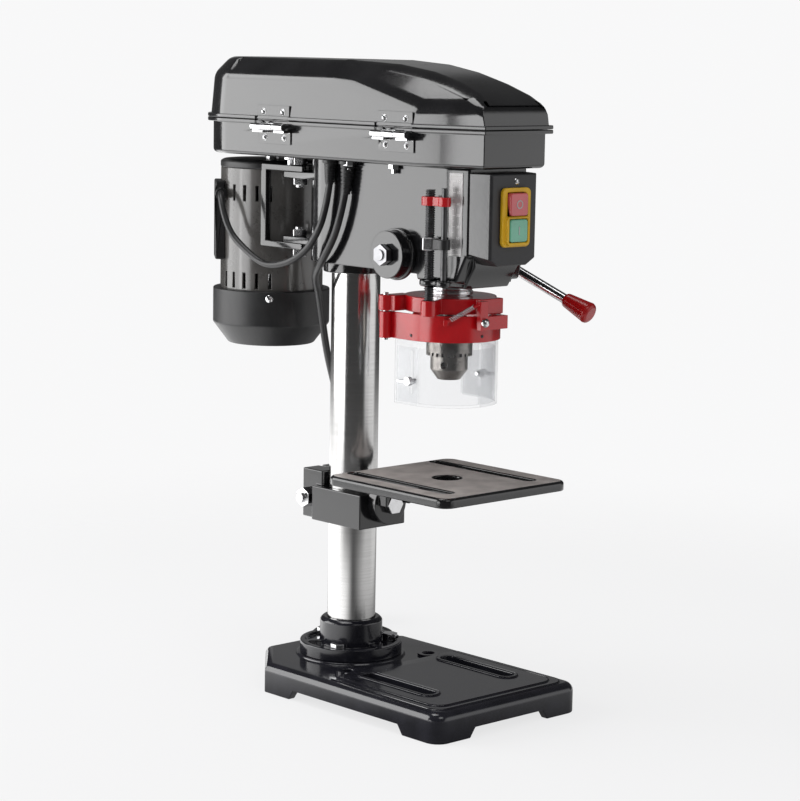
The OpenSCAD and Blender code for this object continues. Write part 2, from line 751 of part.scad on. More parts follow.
module lid_form(e) {
  z0 = seam_z + seam_gap;
  c = lid_top - 16 - 0.4 * e;
  t = lid_top - e;
  h = cover_hw - e;
  k = 3.5 * (t - z0) / (c - z0);
  edge = [[2 * motor_y, t - 16], [188 - cover_front, t - 16], [128 - cover_front, t - 21],
    [70 - cover_front, t - 35], [8 - cover_front, t - 52]];
  difference() {
    intersection() {
      translate([0, 0, z0]) linear_extrude(lid_top - z0) cover_plan(e);
      translate([-100, 0, 0]) rotate([90, 0, 90]) linear_extrude(200)
        polygon([[2 * motor_y, z0], [2 * motor_y, t], [178 - cover_front, t], [118 - cover_front, t - 3],
          [78 - cover_front, t - 9], [43 - cover_front, t - 18], [18 - cover_front, t - 27],
          [-cover_front + 2 + e, t - 38 + e / 2], [-cover_front + e, z0]]);
      translate([0, 2 * motor_y, 0]) rotate([90, 0, 0]) linear_extrude(2 * motor_y + cover_front + 1)
        polygon([[-h, z0], [-h + k, t], [h - k, t], [h, z0]]);
      union() {
        translate([-100, -cover_front - 1, z0]) cube([200, cover_front + 1 + motor_y, 100]);
        translate([0, motor_y, 0]) rotate_extrude()
          polygon([[0, z0], [h, z0], [h - 3.5, c], [h - 19, t], [0, t]]);
      }
    }
    for (i = [0 : len(edge) - 2]) shoulder_cut(h - 3.5, edge[i + 1], edge[i]);
  }
}

module belt_lid() {
  color(black) difference() {
    union() {
      lid_form(0);
      translate([0, 0, seam_z + seam_gap]) linear_extrude(seam_t) cover_plan(-seam_out);
      hinge_pads(seam_z + seam_gap, 14);
    }
    translate([0, 0, -0.01]) lid_form(cover_wall);
    translate([0, 0, seam_z]) linear_extrude(6) cover_plan(cover_wall);
    leaf_room(seam_z - 1, seam_t + 3);
  }
}

module knuckle(y0, l, c) {
  translate([-hinge_x, y0 + l, hinge_z]) rotate([90, 0, 0]) difference() {
    cylinder(r = knuckle_r, h = l);
    if (c > 0) translate([0, 0, -1]) cylinder(r = 1.6 + c, h = l + 2);
  }
}

// Two dome heads on a hinge leaf
module leaf_domes(x, z) {
  for (s = [-1, 1]) translate([-x + 0.4, s * hinge_l * 0.3, z]) rotate([0, -90, 0]) difference() {
    sphere(2.8);
    translate([-5, -5, -10]) cube([10, 10, 10]);
  }
}

module hinge_tray() {
  x = cover_hw + leaf_out + leaf_t;
  l = hinge_l / 3 - 0.4;
  color(steel) for (y = hinge_y) translate([0, y, 0]) {
    for (s = [-1, 1]) knuckle(s * hinge_l / 3 - hinge_l / 6, l, 0);
    translate([-hinge_x, hinge_l / 2 - 0.4, hinge_z]) rotate([90, 0, 0])
      cylinder(r = 1.6, h = hinge_l - 0.4);
    translate([-x, -hinge_l / 2, hinge_z - 16]) cube([leaf_t, hinge_l - 0.4, 12.5]);
    for (s = [-1, 1]) translate([-hinge_x, s * hinge_l / 3 - hinge_l / 6, hinge_z - 5.2])
      cube([hinge_x - cover_hw - leaf_out, l, 2.2]);
    leaf_domes(x, hinge_z - 10);
  }
}

module hinge_lid() {
  x = cover_hw + leaf_out + leaf_t;
  l = hinge_l / 3 - 0.4;
  color(steel) for (y = hinge_y) translate([0, y, 0]) {
    knuckle(-hinge_l / 6, l, 0.05);
    translate([-x, -hinge_l / 2, hinge_z + 3.5]) cube([leaf_t, hinge_l - 0.4, 16.5]);
    translate([-hinge_x, -hinge_l / 6, hinge_z + 2.2]) cube([hinge_x - cover_hw - leaf_out, l, 1.6]);
    leaf_domes(x, hinge_z + 14);
  }
}

function step_points(r, z) = [[r, z], [r, z + 1], [r - groove, z + step_h / 2 - 3],
  [r - groove, z + step_h / 2 + 3], [r, z + step_h - 1], [r, z + step_h]];

module pulley(up, bore, hub, hub_z) {
  rotate_extrude() polygon(concat([[bore, hub_z], [hub, hub_z], [hub, pulley_z]],
    [for (i = [0 : 3], p = step_points(step_r0 + step_dr * (up ? i : 3 - i), pulley_z + i * step_h)) p],
    [[bore, pulley_z + 4 * step_h]]));
}

module spindle_pulley() {
  color(steel) translate([0, -throat, 0])
    pulley(true, spindle_d / 2 + spindle_fit, spindle_d / 2 + 6, head_top - 22);
}

module motor_pulley() {
  color(steel) translate([0, motor_y, 0])
    pulley(false, motor_shaft_d / 2 + 0.02, motor_shaft_d / 2 + 5, head_top);
}

function arc_points(r, y, from, to) = [for (i = [0 : 24]) let (a = from + (to - from) * i / 24)
  [r * cos(a), y + r * sin(a)]];

module loop2d(a, b) {
  g = asin((b - a) / (throat + motor_y));
  polygon(concat(arc_points(a, motor_y, g, 180 - g), arc_points(b, -throat, 180 - g, 360 + g)));
}

module v_belt() {
  a = step_r0 + step_dr - 0.5;
  b = step_r0 + 2 * step_dr - 0.5;
  z = pulley_z + 2.5 * step_h;
  color([0.08, 0.08, 0.08]) {
    translate([0, 0, z - belt_h / 2]) linear_extrude(belt_h) difference() {
      loop2d(a, b);
      loop2d(a - belt_t / 2, b - belt_t / 2);
    }
    translate([0, 0, z - belt_h / 2 + 1.1]) linear_extrude(belt_h - 2.2) difference() {
      loop2d(a - belt_t / 2 + 0.5, b - belt_t / 2 + 0.5);
      loop2d(a - belt_t, b - belt_t);
    }
  }
}

module motor_body() {
  color([0.3, 0.3, 0.32]) translate([0, motor_y, 0]) difference() {
    union() {
      translate([0, 0, motor_low]) cylinder(r = motor_r, h = motor_top - motor_low);
    }
    translate([0, 0, motor_low + 10]) cylinder(r = motor_r - 3, h = 26);
    translate([0, 0, motor_low + 36]) cylinder(r = 28.5, h = motor_top);
    translate([0, 0, motor_top - 36]) cylinder(r = motor_r - 3, h = 40);
    translate([0, 0, motor_low - 1]) cylinder(d = motor_shaft_d + 2 * spindle_fit, h = 20);
    for (a = [168 : 15 : 228], z = [motor_low + 12, motor_top - 31]) rotate(a)
      translate([motor_r - 6, -1.6, z]) cube([12, 3.2, 15]);
    for (a = [312 : 15 : 372], z = [motor_low + 12, motor_top - 31]) rotate(a)
      translate([motor_r - 6, -1.6, z]) cube([12, 3.2, 15]);
  }
}

module motor_cap() {
  color(black) translate([0, motor_y, motor_top]) difference() {
    union() {
      cylinder(r = motor_r + 0.4, h = motor_cap_h - 2);
      translate([0, 0, motor_cap_h - 2]) cylinder(r1 = motor_r + 0.4, r2 = motor_r - 3, h = 2);
    }
    translate([0, 0, -1]) cylinder(d = motor_shaft_d + 2 * spindle_fit, h = motor_cap_h + 2);
  }
}

module fan_cover() {
  ch = fan_low + fan_chamfer_h;
  rb = fan_r - fan_chamfer_w;
  color(black) translate([0, motor_y, 0]) difference() {
    rotate_extrude() polygon([[0, fan_low], [rb, fan_low], [fan_r, ch], [fan_r, fan_top],
      [motor_r + 0.02, fan_top], [motor_r + 0.02, fan_top - 3], [fan_r - 2, fan_top - 3],
      [fan_r - 2, ch + 1],
      [rb - 1, fan_low + 2], [0, fan_low + 2]]);
    for (a = [0 : 15 : 345]) rotate(a) translate([14, -1.5, fan_low - 1]) cube([22, 3, 6]);
  }
}

module terminal_box() {
  color(black) translate([0, motor_y, 0]) rotate(143) difference() {
    union() {
      translate([motor_r - 8, -20, box_z]) cube([14, 40, box_h]);
      translate([motor_r + 1, 20, box_z + box_h - 12]) rotate([-90, 0, 0]) cylinder(d = 9, h = 9);
    }
    translate([0, 0, box_z - 1]) cylinder(r = motor_r + 0.02, h = box_h + 2);
    translate([motor_r + 1, 25, box_z + box_h - 12]) rotate([-90, 0, 0]) cylinder(d = 6.7, h = 9);
  }
}

module motor_shaft() {
  color(steel) translate([0, motor_y, 0]) {
    translate([0, 0, fan_low + 10]) cylinder(d = motor_shaft_d, h = pulley_z + 4 * step_h - fan_low - 10);
    translate([0, 0, motor_low + 40]) cylinder(r = 27.8, h = motor_top - motor_low - 80);
    translate([0, 0, fan_low + 24]) cylinder(r = 40, h = 2);
    for (a = [0 : 45 : 315])
      rotate(a) translate([motor_shaft_d / 2 - 1, -1, fan_low + 12]) cube([34, 2, 13]);
  }
}

module motor_bracket() {
  zt = lug_top_z + lug_t;
  zb = lug_low_z - 6;
  color(black) difference() {
    union() {
      translate([-40, 30, zt]) cube([80, motor_y - 60, 6]);
      translate([-40, 30, zb]) cube([80, motor_y - 60, 6]);
      for (s = [0, 1]) mirror([s, 0, 0]) translate([-40, 86, zb]) cube([6, 14, zt - zb + 6]);
    }
    translate([0, motor_y, zb - 1]) cylinder(r = motor_r + 0.02, h = motor_top - zb + 1);
    translate([0, motor_y, motor_top]) cylinder(r = motor_r + 0.42, h = 20);
    translate([0, 0, zb - 1]) cylinder(r = head_hw + motor_travel + 1, h = 100);
    for (s = [-1, 1]) translate([s * lug_bolt_x, 0, zb - 1]) {
      translate([-bolt_d / 2 - bolt_fit, 20, 0])
        cube([bolt_d + 2 * bolt_fit, lug_bolt_y - 20 + motor_travel, 100]);
      translate([0, lug_bolt_y + motor_travel, 0]) cylinder(d = bolt_d + 2 * bolt_fit, h = 100);
    }
  }
}

module bracket_bolts() {
  zt = lug_top_z + lug_t + 6;
  zb = lug_low_z - 6;
  color(steel) for (s = [-1, 1]) translate([s * lug_bolt_x, lug_bolt_y, 0]) {
    translate([0, 0, zt]) hex(bolt_head_d, bolt_head_h);
    translate([0, 0, lug_top_z - 9]) cylinder(d = bolt_d, h = zt - lug_top_z + 10);
    translate([0, 0, lug_top_z - 6.5]) hex(bolt_head_d, 6.5);
    translate([0, 0, zb - bolt_head_h]) hex(bolt_head_d, bolt_head_h);
    translate([0, 0, zb - 1]) cylinder(d = bolt_d, h = lug_t + 16);
    translate([0, 0, lug_low_z + lug_t]) hex(bolt_head_d, 6.5);
  }
}

module pinion_shaft() {
  ra = pinion_r + 0.8 * module_m;
  rd = pinion_r - 1.2 * module_m;
  color(steel) translate([0, feed_y, feed_z]) {
    translate([-head_hw - 0.5, 0, 0]) rotate([0, 90, 0]) cylinder(d = feed_d, h = head_hw + hub_end - 8);
    translate([-cap_face - 9, 0, 0]) rotate([0, 90, 0]) cylinder(d = feed_d - 4, h = 26);
    for (x = [-cap_face - 4.3, -cap_face - 7.6]) translate([x, 0, 0]) rotate([0, 90, 0]) hex(17, 3.2);
    translate([-10, 0, 0]) rotate([0, 90, 0]) difference() {
      linear_extrude(20) {
        circle(rd);
        for (i = [0 : pinion_n - 1]) rotate(90 + 360 * i / pinion_n)
          polygon([[rd - 1, -1.1], [rd, -1.05], [pinion_r, -pitch / 4 + 0.15], [ra, -0.42], [ra, 0.42],
            [pinion_r, pitch / 4 - 0.15], [rd, 1.05], [rd - 1, 1.1]]);
      }
    }
  }
}

module on_spoke(i) {
  translate([hub_end - 10, feed_y, feed_z]) rotate([spoke_drop + 120 * i, 0, 0])
    rotate([0, 0, atan(spoke_out / spoke_reach)]) rotate([90, 0, 0]) children();
}

module feed_hub() {
  color(black) difference() {
    union() {
      translate([head_hw + 2, feed_y, feed_z]) rotate([0, 90, 0]) cylinder(d = hub_d - 8, h = 8);
      translate([hub_end - 22, feed_y, feed_z]) rotate([0, 90, 0]) cylinder(d = hub_d, h = 22);
    }
    translate([0, feed_y, feed_z]) rotate([0, 90, 0]) cylinder(d = feed_d + 0.04, h = hub_end - 7);
    for (i = [0 : 2]) on_spoke(i) translate([0, 0, 9]) cylinder(d = spoke_d + 0.04, h = 40);
  }
}

module feed_spokes() {
  color(steel) for (i = [0 : 2]) on_spoke(i) translate([0, 0, 9.5]) cylinder(d = spoke_d, h = spoke_reach);
}

module feed_knobs() {
  color(red) for (i = [0 : 2]) on_spoke(i) translate([0, 0, spoke_reach + 2 - knob_len / 2]) difference() {
    rotate_extrude() polygon([[0, 0], [5.4, 0], [6.4, 1], [6.8, 3], [knob_d / 2 - 0.5, knob_len - 6],
      [knob_d / 2, knob_len - 4], [knob_d / 2 - 0.8, knob_len - 1.5], [knob_d / 2 - 3, knob_len],
      [0, knob_len]]);
    translate([0, 0, -1]) cylinder(d = spoke_d + 0.04, h = knob_len / 2 + 9.5);
  }
}

module quill() {
  tip = -throat + quill_r - rack_depth + 0.8 * module_m;
  root = -throat + quill_r - rack_depth - 1.2 * module_m;
  color(steel) difference() {
    translate([0, -throat, quill_bottom]) cylinder(r = quill_r, h = quill_len);
    translate([0, -throat, quill_bottom - 1]) cylinder(d = spindle_d + 2 * spindle_fit, h = quill_len + 2);
    translate([-20, tip, feed_z - 12]) cube([40, 20, quill_top - feed_z + 13]);
    translate([-20, 0, feed_z]) rotate([90, 0, 90]) linear_extrude(40)
      for (i = [-2 : 9]) translate([0, i * pitch]) polygon([[tip + 1, -1.8], [tip, -pitch / 4 - 0.5],
        [root, -pitch / 4 + 0.38], [root, pitch / 4 - 0.38], [tip, pitch / 4 + 0.5], [tip + 1, 1.8]]);
  }
}

module quill_rings() {
  color(steel) translate([0, -throat, 0]) rotate_extrude()
    polygon([[quill_r + 0.02, 387], [ring_d / 2, 387], [ring_d / 2, 390], [ring_d / 2 - 1, 390.6],
      [ring_d / 2 - 1, 391.4], [ring_d / 2, 392], [ring_d / 2, 394.5], [quill_r + 0.02, 394.5]]);
}

module spindle() {
  color(steel) translate([0, -throat, chuck_top - 18])
    cylinder(d = spindle_d, h = spindle_top - chuck_top + 18);
}

module jaw_axis(a) {
  translate([0, -throat, chuck_bottom]) rotate(a) translate([6.6, 0, 0]) rotate([0, jaw_lean, 0]) children();
}

module chuck_body() {
  s0 = sleeve_low - 0.3;
  s1 = sleeve_low + sleeve_h + 0.3;
  color(steel) difference() {
    translate([0, -throat, 0]) rotate_extrude() polygon([[0, chuck_bottom], [10.5, chuck_bottom],
      [chuck_d / 2, chuck_bottom + 9], [chuck_d / 2, s0], [sleeve_d / 2 - 8, s0], [sleeve_d / 2 - 8, s1],
      [chuck_d / 2 - 1, s1], [chuck_d / 2 - 1, chuck_top - 2], [chuck_d / 2 - 3, chuck_top],
      [0, chuck_top]]);
    translate([0, -throat, chuck_top - 18]) cylinder(d = spindle_d + 0.04, h = 30);
    translate([0, -throat, chuck_bottom - 1]) cylinder(d = 13, h = 26);
    for (a = [30, 150, 270]) jaw_axis(a) translate([0, 0, -4]) cylinder(d = jaw_d + 2 * chuck_fit, h = 25);
    for (a = [90, 210, 330]) translate([0, -throat, sleeve_low - 8]) rotate(a) translate([9, 0, 0])
      rotate([0, 90, 0]) cylinder(d = 5.5, h = 20);
  }
}

module chuck_sleeve() {
  color(steel) translate([0, -throat, sleeve_low]) difference() {
    cylinder(d = sleeve_d, h = sleeve_h);
    translate([0, 0, -1]) cylinder(r = sleeve_d / 2 - 8 + chuck_fit, h = sleeve_h + 2);
    for (a = [0 : 15 : 345]) rotate(a) translate([sleeve_d / 2 - 4.5, -1.1, -1]) cube([6, 2.2, 4]);
  }
}

module chuck_jaw(a) {
  color(steel) jaw_axis(a) translate([0, 0, 2]) cylinder(d = jaw_d, h = 17);
}

module chuck_jaw_a() {
  chuck_jaw(30);
}

module chuck_jaw_b() {
  chuck_jaw(150);
}

module chuck_jaw_c() {
  chuck_jaw(270);
}

module depth_rod() {
  color(black) translate([-stop_x, -stop_y, collar_z + 3]) cylinder(d = stop_d, h = stop_top - collar_z - 3);
}

module depth_nut() {
  color(steel) translate([-stop_x, -stop_y, nut_z]) difference() {
    hex(15, nut_h);
    translate([0, 0, -1]) cylinder(d = stop_d + 0.1, h = nut_h + 2);
  }
}

module depth_tab() {
  color(black) difference() {
    union() {
      translate([-stop_x - 4, -guide_y, nut_z + 1]) cube([8, guide_y - stop_y - 7.5, nut_h - 2]);
      translate([-stop_x, -guide_y, nut_z + 1]) cylinder(d = guide_d + 6, h = nut_h - 2);
    }
    translate([-stop_x, -guide_y, nut_z]) cylinder(d = guide_d + 2 * rod_fit, h = nut_h);
  }
}

module depth_pointer() {
  color(red) translate([0, 0, pointer_z]) difference() {
    union() {
      translate([-stop_x, -stop_y, 0]) cylinder(d = stop_d + 7, h = pointer_h);
      translate([-stop_x - 4, -guide_y, 0]) cube([8, guide_y - stop_y, pointer_h]);
      translate([-stop_x, -guide_y, 0]) cylinder(d = guide_d + 6, h = pointer_h);
      translate([0, 0, 2]) linear_extrude(3)
        polygon([[-stop_x, -guide_y - 4], [-head_hw - 0.6, -head_front - 6],
          [-head_hw - 0.6, -head_front - 4.5],
          [-stop_x, -guide_y + 5]]);
    }
    translate([-stop_x, -stop_y, -1]) cylinder(d = stop_d + 0.04, h = pointer_h + 2);
    translate([-stop_x, -guide_y, -1]) cylinder(d = guide_d + 2 * rod_fit, h = pointer_h + 2);
  }
}

module guard_collar() {
  color(red) translate([0, 0, collar_z]) difference() {
    linear_extrude(collar_h) difference() {
      union() {
        translate([0, -throat]) circle(collar_r);
        translate([0, -throat]) rotate(207) translate([0, -5.5]) square([stop_reach, 11]);
        translate([-stop_x, -stop_y]) circle(d = stop_d + 5);
        translate([-hinge_pin_x, -hinge_pin_y]) circle(d = pin_d + 8);
        translate([-hinge_pin_x, -hinge_pin_y - 12]) square([24, 16]);
        translate([-8, -throat - collar_r - 6]) square([28, 12]);
      }
      translate([0, -throat]) circle(quill_r + 0.02);
      translate([-hinge_pin_x, -hinge_pin_y]) circle(d = pin_d + 0.04);
    }
    translate([-stop_x, -stop_y, 3]) cylinder(d = stop_d + 0.04, h = collar_h);
  }
}

// A U round the spindle, open to the back
module u2d(r, t, back) {
  translate([0, -throat]) difference() {
    circle(r);
    circle(r - t);
    translate([-2 * r, 0]) square(4 * r);
  }
  for (s = [-1, 1]) translate([s * (r - t / 2) - t / 2, -throat]) square([t, throat - back]);
}

module guard_skirt() {
  color(red) difference() {
    union() {
      translate([0, 0, skirt_z]) linear_extrude(skirt_h) u2d(skirt_r, skirt_t, skirt_back);
      translate([-hinge_pin_x, -hinge_pin_y, skirt_z]) cylinder(d = pin_d + 6, h = skirt_h);
      translate([-skirt_r, -skirt_back, skirt_z]) cube([4, skirt_back - hinge_pin_y, skirt_h]);
      translate([-8, -throat - skirt_r - 8, skirt_z + 12]) cube([28, 12, skirt_h - 12]);
      translate([-15, -throat - skirt_r - 9, skirt_z + 12]) cube([9, 5.5, 26]);
      translate([0, -throat, skirt_z + 16.5]) rotate(222) translate([skirt_r - 1, -2, 0]) cube([11, 4, 5.5]);
      spring_peg(spring_a, -6, 2);
      spring_peg(spring_b, -2, 6);
    }
    translate([-hinge_pin_x, -hinge_pin_y, skirt_z - 1]) cylinder(d = pin_d + 2 * pin_fit, h = skirt_h + 2);
    translate([0, 0, skirt_z]) linear_extrude(skirt_h) translate([0, -throat]) circle(skirt_r - skirt_t);
  }
}

module guard_pin() {
  color(steel) translate([-hinge_pin_x, -hinge_pin_y, skirt_z - 2])
    cylinder(d = pin_d, h = skirt_h + collar_gap + collar_h + 4);
}

module guard_shield() {
  r = skirt_r - skirt_t - 0.2;
  color([0.85, 0.9, 0.95, 0.4]) difference() {
    translate([0, 0, shield_z]) linear_extrude(skirt_z + 16 - shield_z) u2d(r, shield_t, shield_back);
    for (s = [-1, 1]) translate([s * r, -throat + 3.5, screw_z + 8]) rotate([0, 90, 0])
      translate([0, 0, -6]) linear_extrude(12) rotate(90) slot2d(5, 40);
  }
}

module shield_slider() {
  r = skirt_r - skirt_t - shield_t - 0.8;
  color([0.85, 0.9, 0.95, 0.4]) difference() {
    translate([0, 0, shield_z + 2]) linear_extrude(50) u2d(r, 1.8, shield_back);
    for (s = [-1, 1]) translate([s * r, -throat + 3.5, screw_z]) rotate([0, 90, 0]) translate([0, 0, -6])
      cylinder(d = 4.04, h = 12);
  }
}

module shield_screws() {
  r = skirt_r - skirt_t;
  color(steel) for (s = [0, 1]) mirror([s, 0, 0]) translate([-r, -throat + 3.5, screw_z]) {
    translate([-5, 0, 0]) rotate([0, 90, 0]) cylinder(d = 4, h = 11);
    translate([-5, 0, 0]) rotate([0, 90, 0]) cylinder(d = 8, h = 4.6);
    translate([-9, -9, -1.2]) cube([6, 18, 2.4]);
  }
}

// The spring of the guard latch, wound on two pegs of the skirt
spring_a = [-36, -throat - 38, skirt_z + 21.5];
spring_b = [-18, -throat - 49, skirt_z + 33];
spring_wire = 0.45;
spring_coil = 2.2;
spring_n = 13;
spring_axis = unit(spring_b - spring_a);
spring_u = side_of(spring_axis, [0, 0, 1]);
spring_v = cross(spring_axis, spring_u);
spring_pts = [for (i = [0 : 8 * spring_n]) let (k = i / 8 / spring_n)
  spring_a + k * (spring_b - spring_a) + spring_coil * (cos(45 * i) * spring_u + sin(45 * i) * spring_v)];

module spring_peg(at, from, to) {
  translate(at) rotate([0, acos(spring_axis[2]), atan2(spring_axis[1], spring_axis[0])])
    translate([0, 0, from]) cylinder(r = spring_coil - spring_wire - 0.35, h = to - from);
}

module guard_spring() {
  color(steel) tube(spring_pts, spring_wire, 6);
}

module table() {
  cy = -throat - 0.5;
  color(black) difference() {
    union() {
      translate([0, cy, table_top - table_h]) linear_extrude(table_h) round2d(table_w, table_w, table_r);
      translate([0, cy, table_top - table_h - 8]) cylinder(d = table_hole_d + 22, h = 10);
      translate([-16, -bracket_front - 22, tilt_z]) cube([32, 14, table_top - table_h - tilt_z + 1]);
      translate([0, -bracket_front - 0.3, tilt_z]) rotate([90, 0, 0]) cylinder(r = tilt_r, h = 11);
      translate([-5, cy, table_top - table_h - 8]) cube([10, 70, 10]);
    }
    difference() {
      translate([0, cy, table_top - table_h - 1]) linear_extrude(table_h - table_plate_t + 1)
        round2d(table_w - 14, table_w - 14, table_r - 6);
      translate([0, cy, 0]) cylinder(d = table_hole_d + 22, h = 300);
      translate([-5, cy - 76, 0]) cube([10, 152, 300]);
      translate([-80, cy - 4, 0]) cube([160, 8, 300]);
      translate([-16, -bracket_front - 22, 0]) cube([32, 14, 300]);
    }
    translate([0, cy, 0]) cylinder(d = table_hole_d, h = 300);
    for (s = [-1, 1]) translate([s * table_slot_x, table_slot_y - throat, 0])
      linear_extrude(300) slot2d(table_slot_w, table_slot_l);
    translate([0, -bracket_front + 1, tilt_z]) rotate([90, 0, 0]) cylinder(d = 10 + 2 * pin_fit, h = 13);
    translate([0, -bracket_front - 11.3, tilt_z]) rotate([90, 0, 0]) cylinder(r = 13, h = 30);
  }
}

module table_bracket() {
  color(black) difference() {
    union() {
      translate([-22, column_r - 3, bracket_low]) cube([44, clamp_y - column_r + 13, clamp_h]);
      translate([0, 0, bracket_low]) linear_extrude(bracket_h) {
        translate([-bracket_hw, -bracket_front]) square([2 * bracket_hw, bracket_front + column_r + 4]);
      }
    }
    translate([0, 0, bracket_low - 1]) cylinder(r = column_r + column_fit, h = clamp_h + 2);
    translate([-2, 10, bracket_low - 1]) cube([4, 50, clamp_h + 2]);
    translate([-40, clamp_y, clamp_z]) rotate([0, 90, 0]) cylinder(d = 10 + 2 * bolt_fit, h = 80);
    translate([0, -bracket_front - 1, tilt_z]) rotate([-90, 0, 0]) cylinder(d = 10 + 0.04, h = 13);
  }
}

module clamp_bolt() {
  color(steel) translate([0, clamp_y, clamp_z]) rotate([0, 90, 0]) {
    translate([0, 0, -35]) cylinder(d = 10, h = 74);
    translate([0, 0, -31]) hex(17, 9);
  }
}

module clamp_lever() {
  color(black) difference() {
    union() {
      translate([22.3, clamp_y, clamp_z]) rotate([0, 90, 0]) cylinder(d = 19, h = 14);
      translate([30, clamp_y, clamp_z]) rotate([-14, 8, 0]) cylinder(d = 8, h = 42);
      translate([30, clamp_y, clamp_z]) rotate([-14, 8, 0]) translate([0, 0, 44]) sphere(d = 14);
    }
    translate([20, clamp_y, clamp_z]) rotate([0, 90, 0]) cylinder(d = 10 + 2 * pin_fit, h = 30);
  }
}

module tilt_bolt() {
  color(steel) translate([0, -bracket_front + 11, tilt_z]) rotate([90, 0, 0]) {
    cylinder(d = 10, h = 23);
    translate([0, 0, 22.5]) hex(17, 7);
  }
}

// Stations of the motor cable from the terminal box to the head
motor_cable_stations = [[-56, 134.7, 464], [-59, 130.7, 464], [-63, 125, 460], [-66.5, 117, 448],
  [-67, 108, 433], [-66, 96, 421], [-64, 70, 406], [-62, 50, 402], [-58, 26, 408], [-54, 8, 421],
  [-51.5, -5, 440], [-49.5, -11, 459], [-48.5, -15, 480], [-48, -16, 495], [-48, -16, 502.7]];

module motor_cable() {
  color(black) tube(spline(motor_cable_stations, 2), 3.2, 8);
}

// Stations of the power cord from the head to the coil behind the base
cord_r = 3.5;
cord_stations = [[-48, -40, 502.7], [-48, -40, 495], [-50, -37, 468], [-50.5, -26, 436], [-50, -9, 411],
  [-43, 8, 397], [-33, 20, 387], [-22, 29, 376], [-12, 35, 352], [-4, 36, 318], [6, 38, 290], [24, 47, 260],
  [46, 62, 226], [58, 71, 190], [61, 72, 150], [57, 75, 100], [52, 80, 66], [50.5, 80.5, 46], [51.5, 79, 30],
  [55, 74, 18.5]];

// The power cord coil: two layers that spiral in and out again
coil_x = 90;
coil_y = 100;
coil_turns = 3;
coil_out = 42.6;
coil_step = 7.7;
coil_start = 236;
coil_low = 4.5;
coil_rise = 7.7;
function coil_pt(a, r, z) = [coil_x + r * cos(coil_start + a), coil_y + r * sin(coil_start + a), z];
coil_in = coil_out - coil_turns * coil_step + coil_step;
coil_upper = [for (i = [0 : 24 * (coil_turns - 1)]) let (a = 15 * i)
  coil_pt(a, coil_out - coil_step * a / 360, coil_low + coil_rise)];
coil_turn = [for (i = [1 : 11]) let (a = 360 * (coil_turns - 1) + 15 * i, k = i / 12)
  coil_pt(a, coil_in - 2.2 * sin(180 * k), coil_low + coil_rise * (1 + cos(180 * k)) / 2)];
coil_lower = [for (i = [0 : 24 * (coil_turns - 1) - 7]) let (a = 360 * (coil_turns - 1) + 180 + 15 * i)
  coil_pt(a, coil_in + coil_step * i / 24, coil_low)];
coil_tail = spline([coil_lower[len(coil_lower) - 1], [126, 79.5, 4.5], [132.5, 100, 4.5], [134, 118, 6],
  [135, 134, 11], [137, 147, 16], [142, 157.5, 18.5], [148, 164.5, 18.5]], 2);
coil_pts = concat(coil_upper, coil_turn, coil_lower, [for (i = [1 : len(coil_tail) - 1]) coil_tail[i]]);
coil_dir = unit(coil_pts[1] - coil_pts[0]);
cord_route = [for (p = cord_stations) p + [0, 0, rise * min(1, max(0, (p[2] - 60) / 340))]];
cord_pts = concat(spline(cord_route, 2), [coil_pts[0] - 2 * cord_r * coil_dir, coil_pts[0]]);

module power_cord() {
  color(black) tube(cord_pts, cord_r, 8);
}

module cord_coil() {
  color(black) tube(coil_pts, cord_r, 6);
}

module cord_tie() {
  color(black) translate([coil_x, coil_y, 8.6]) rotate(150) translate([33, 0, 0]) rotate([90, 0, 0])
    linear_extrude(4) difference() {
      round2d(17.8, 17, 5);
      round2d(16.2, 15.8, 4.4);
    }
}

module plug() {
  color(black) translate([148, 164.5, 18.5]) rotate([0, 0, 48]) rotate([0, 90, 0]) {
    cylinder(d1 = 12, d2 = 22, h = 16);
    translate([0, 0, 16]) cylinder(d1 = 22, d2 = 36, h = 8);
    translate([0, 0, 24]) cylinder(d = 36, h = 16);
    for (s = [-1, 1]) translate([0, s * 9.5, 40]) cylinder(d = 4.8, h = 19);
  }
}

function length_of(p) = len(p) < 2 ? 0 : [for (i = 0, t = 0; i < len(p);
  i = i + 1, t = i < len(p) ? t + norm(p[i] - p[i - 1]) : t) t][len(p) - 1];
echo(motor_cable_length = length_of(spline(motor_cable_stations, 2)));
echo(power_cord_length = length_of(cord_pts) + length_of(coil_pts));
echo(coil_gap = self_gap(coil_pts, cord_r, 12));
echo(guard_spring_gap = self_gap(spring_pts, spring_wire, 6));

// The head goes up with the column
module on_column() {
  translate([0, 0, rise]) children();
}

base();
column_flange();
flange_bolts();
column();
on_column() head();
on_column() spring_cap();
on_column() return_spring();
on_column() depth_scale();
on_column() guide_rod();
on_column() switch_box();
on_column() switch_plate();
on_column() stop_button();
on_column() start_button();
on_column() belt_tray();
on_column() belt_lid();
on_column() hinge_tray();
on_column() hinge_lid();
on_column() spindle_pulley();
on_column() motor_pulley();
on_column() v_belt();
on_column() motor_body();
on_column() motor_cap();
on_column() fan_cover();
on_column() terminal_box();
on_column() motor_shaft();
on_column() motor_bracket();
on_column() bracket_bolts();
on_column() pinion_shaft();
on_column() feed_hub();
on_column() feed_spokes();
on_column() feed_knobs();
on_column() quill();
on_column() quill_rings();
on_column() spindle();
on_column() chuck_body();
on_column() chuck_sleeve();
on_column() chuck_jaw_a();
on_column() chuck_jaw_b();
on_column() chuck_jaw_c();
on_column() depth_rod();
on_column() depth_nut();
on_column() depth_tab();
on_column() depth_pointer();
on_column() guard_collar();
on_column() guard_skirt();
on_column() guard_pin();
on_column() guard_shield();
on_column() shield_slider();
on_column() shield_screws();
on_column() guard_spring();
table();
table_bracket();
clamp_bolt();
clamp_lever();
tilt_bolt();
on_column() motor_cable();
power_cord();
cord_coil();
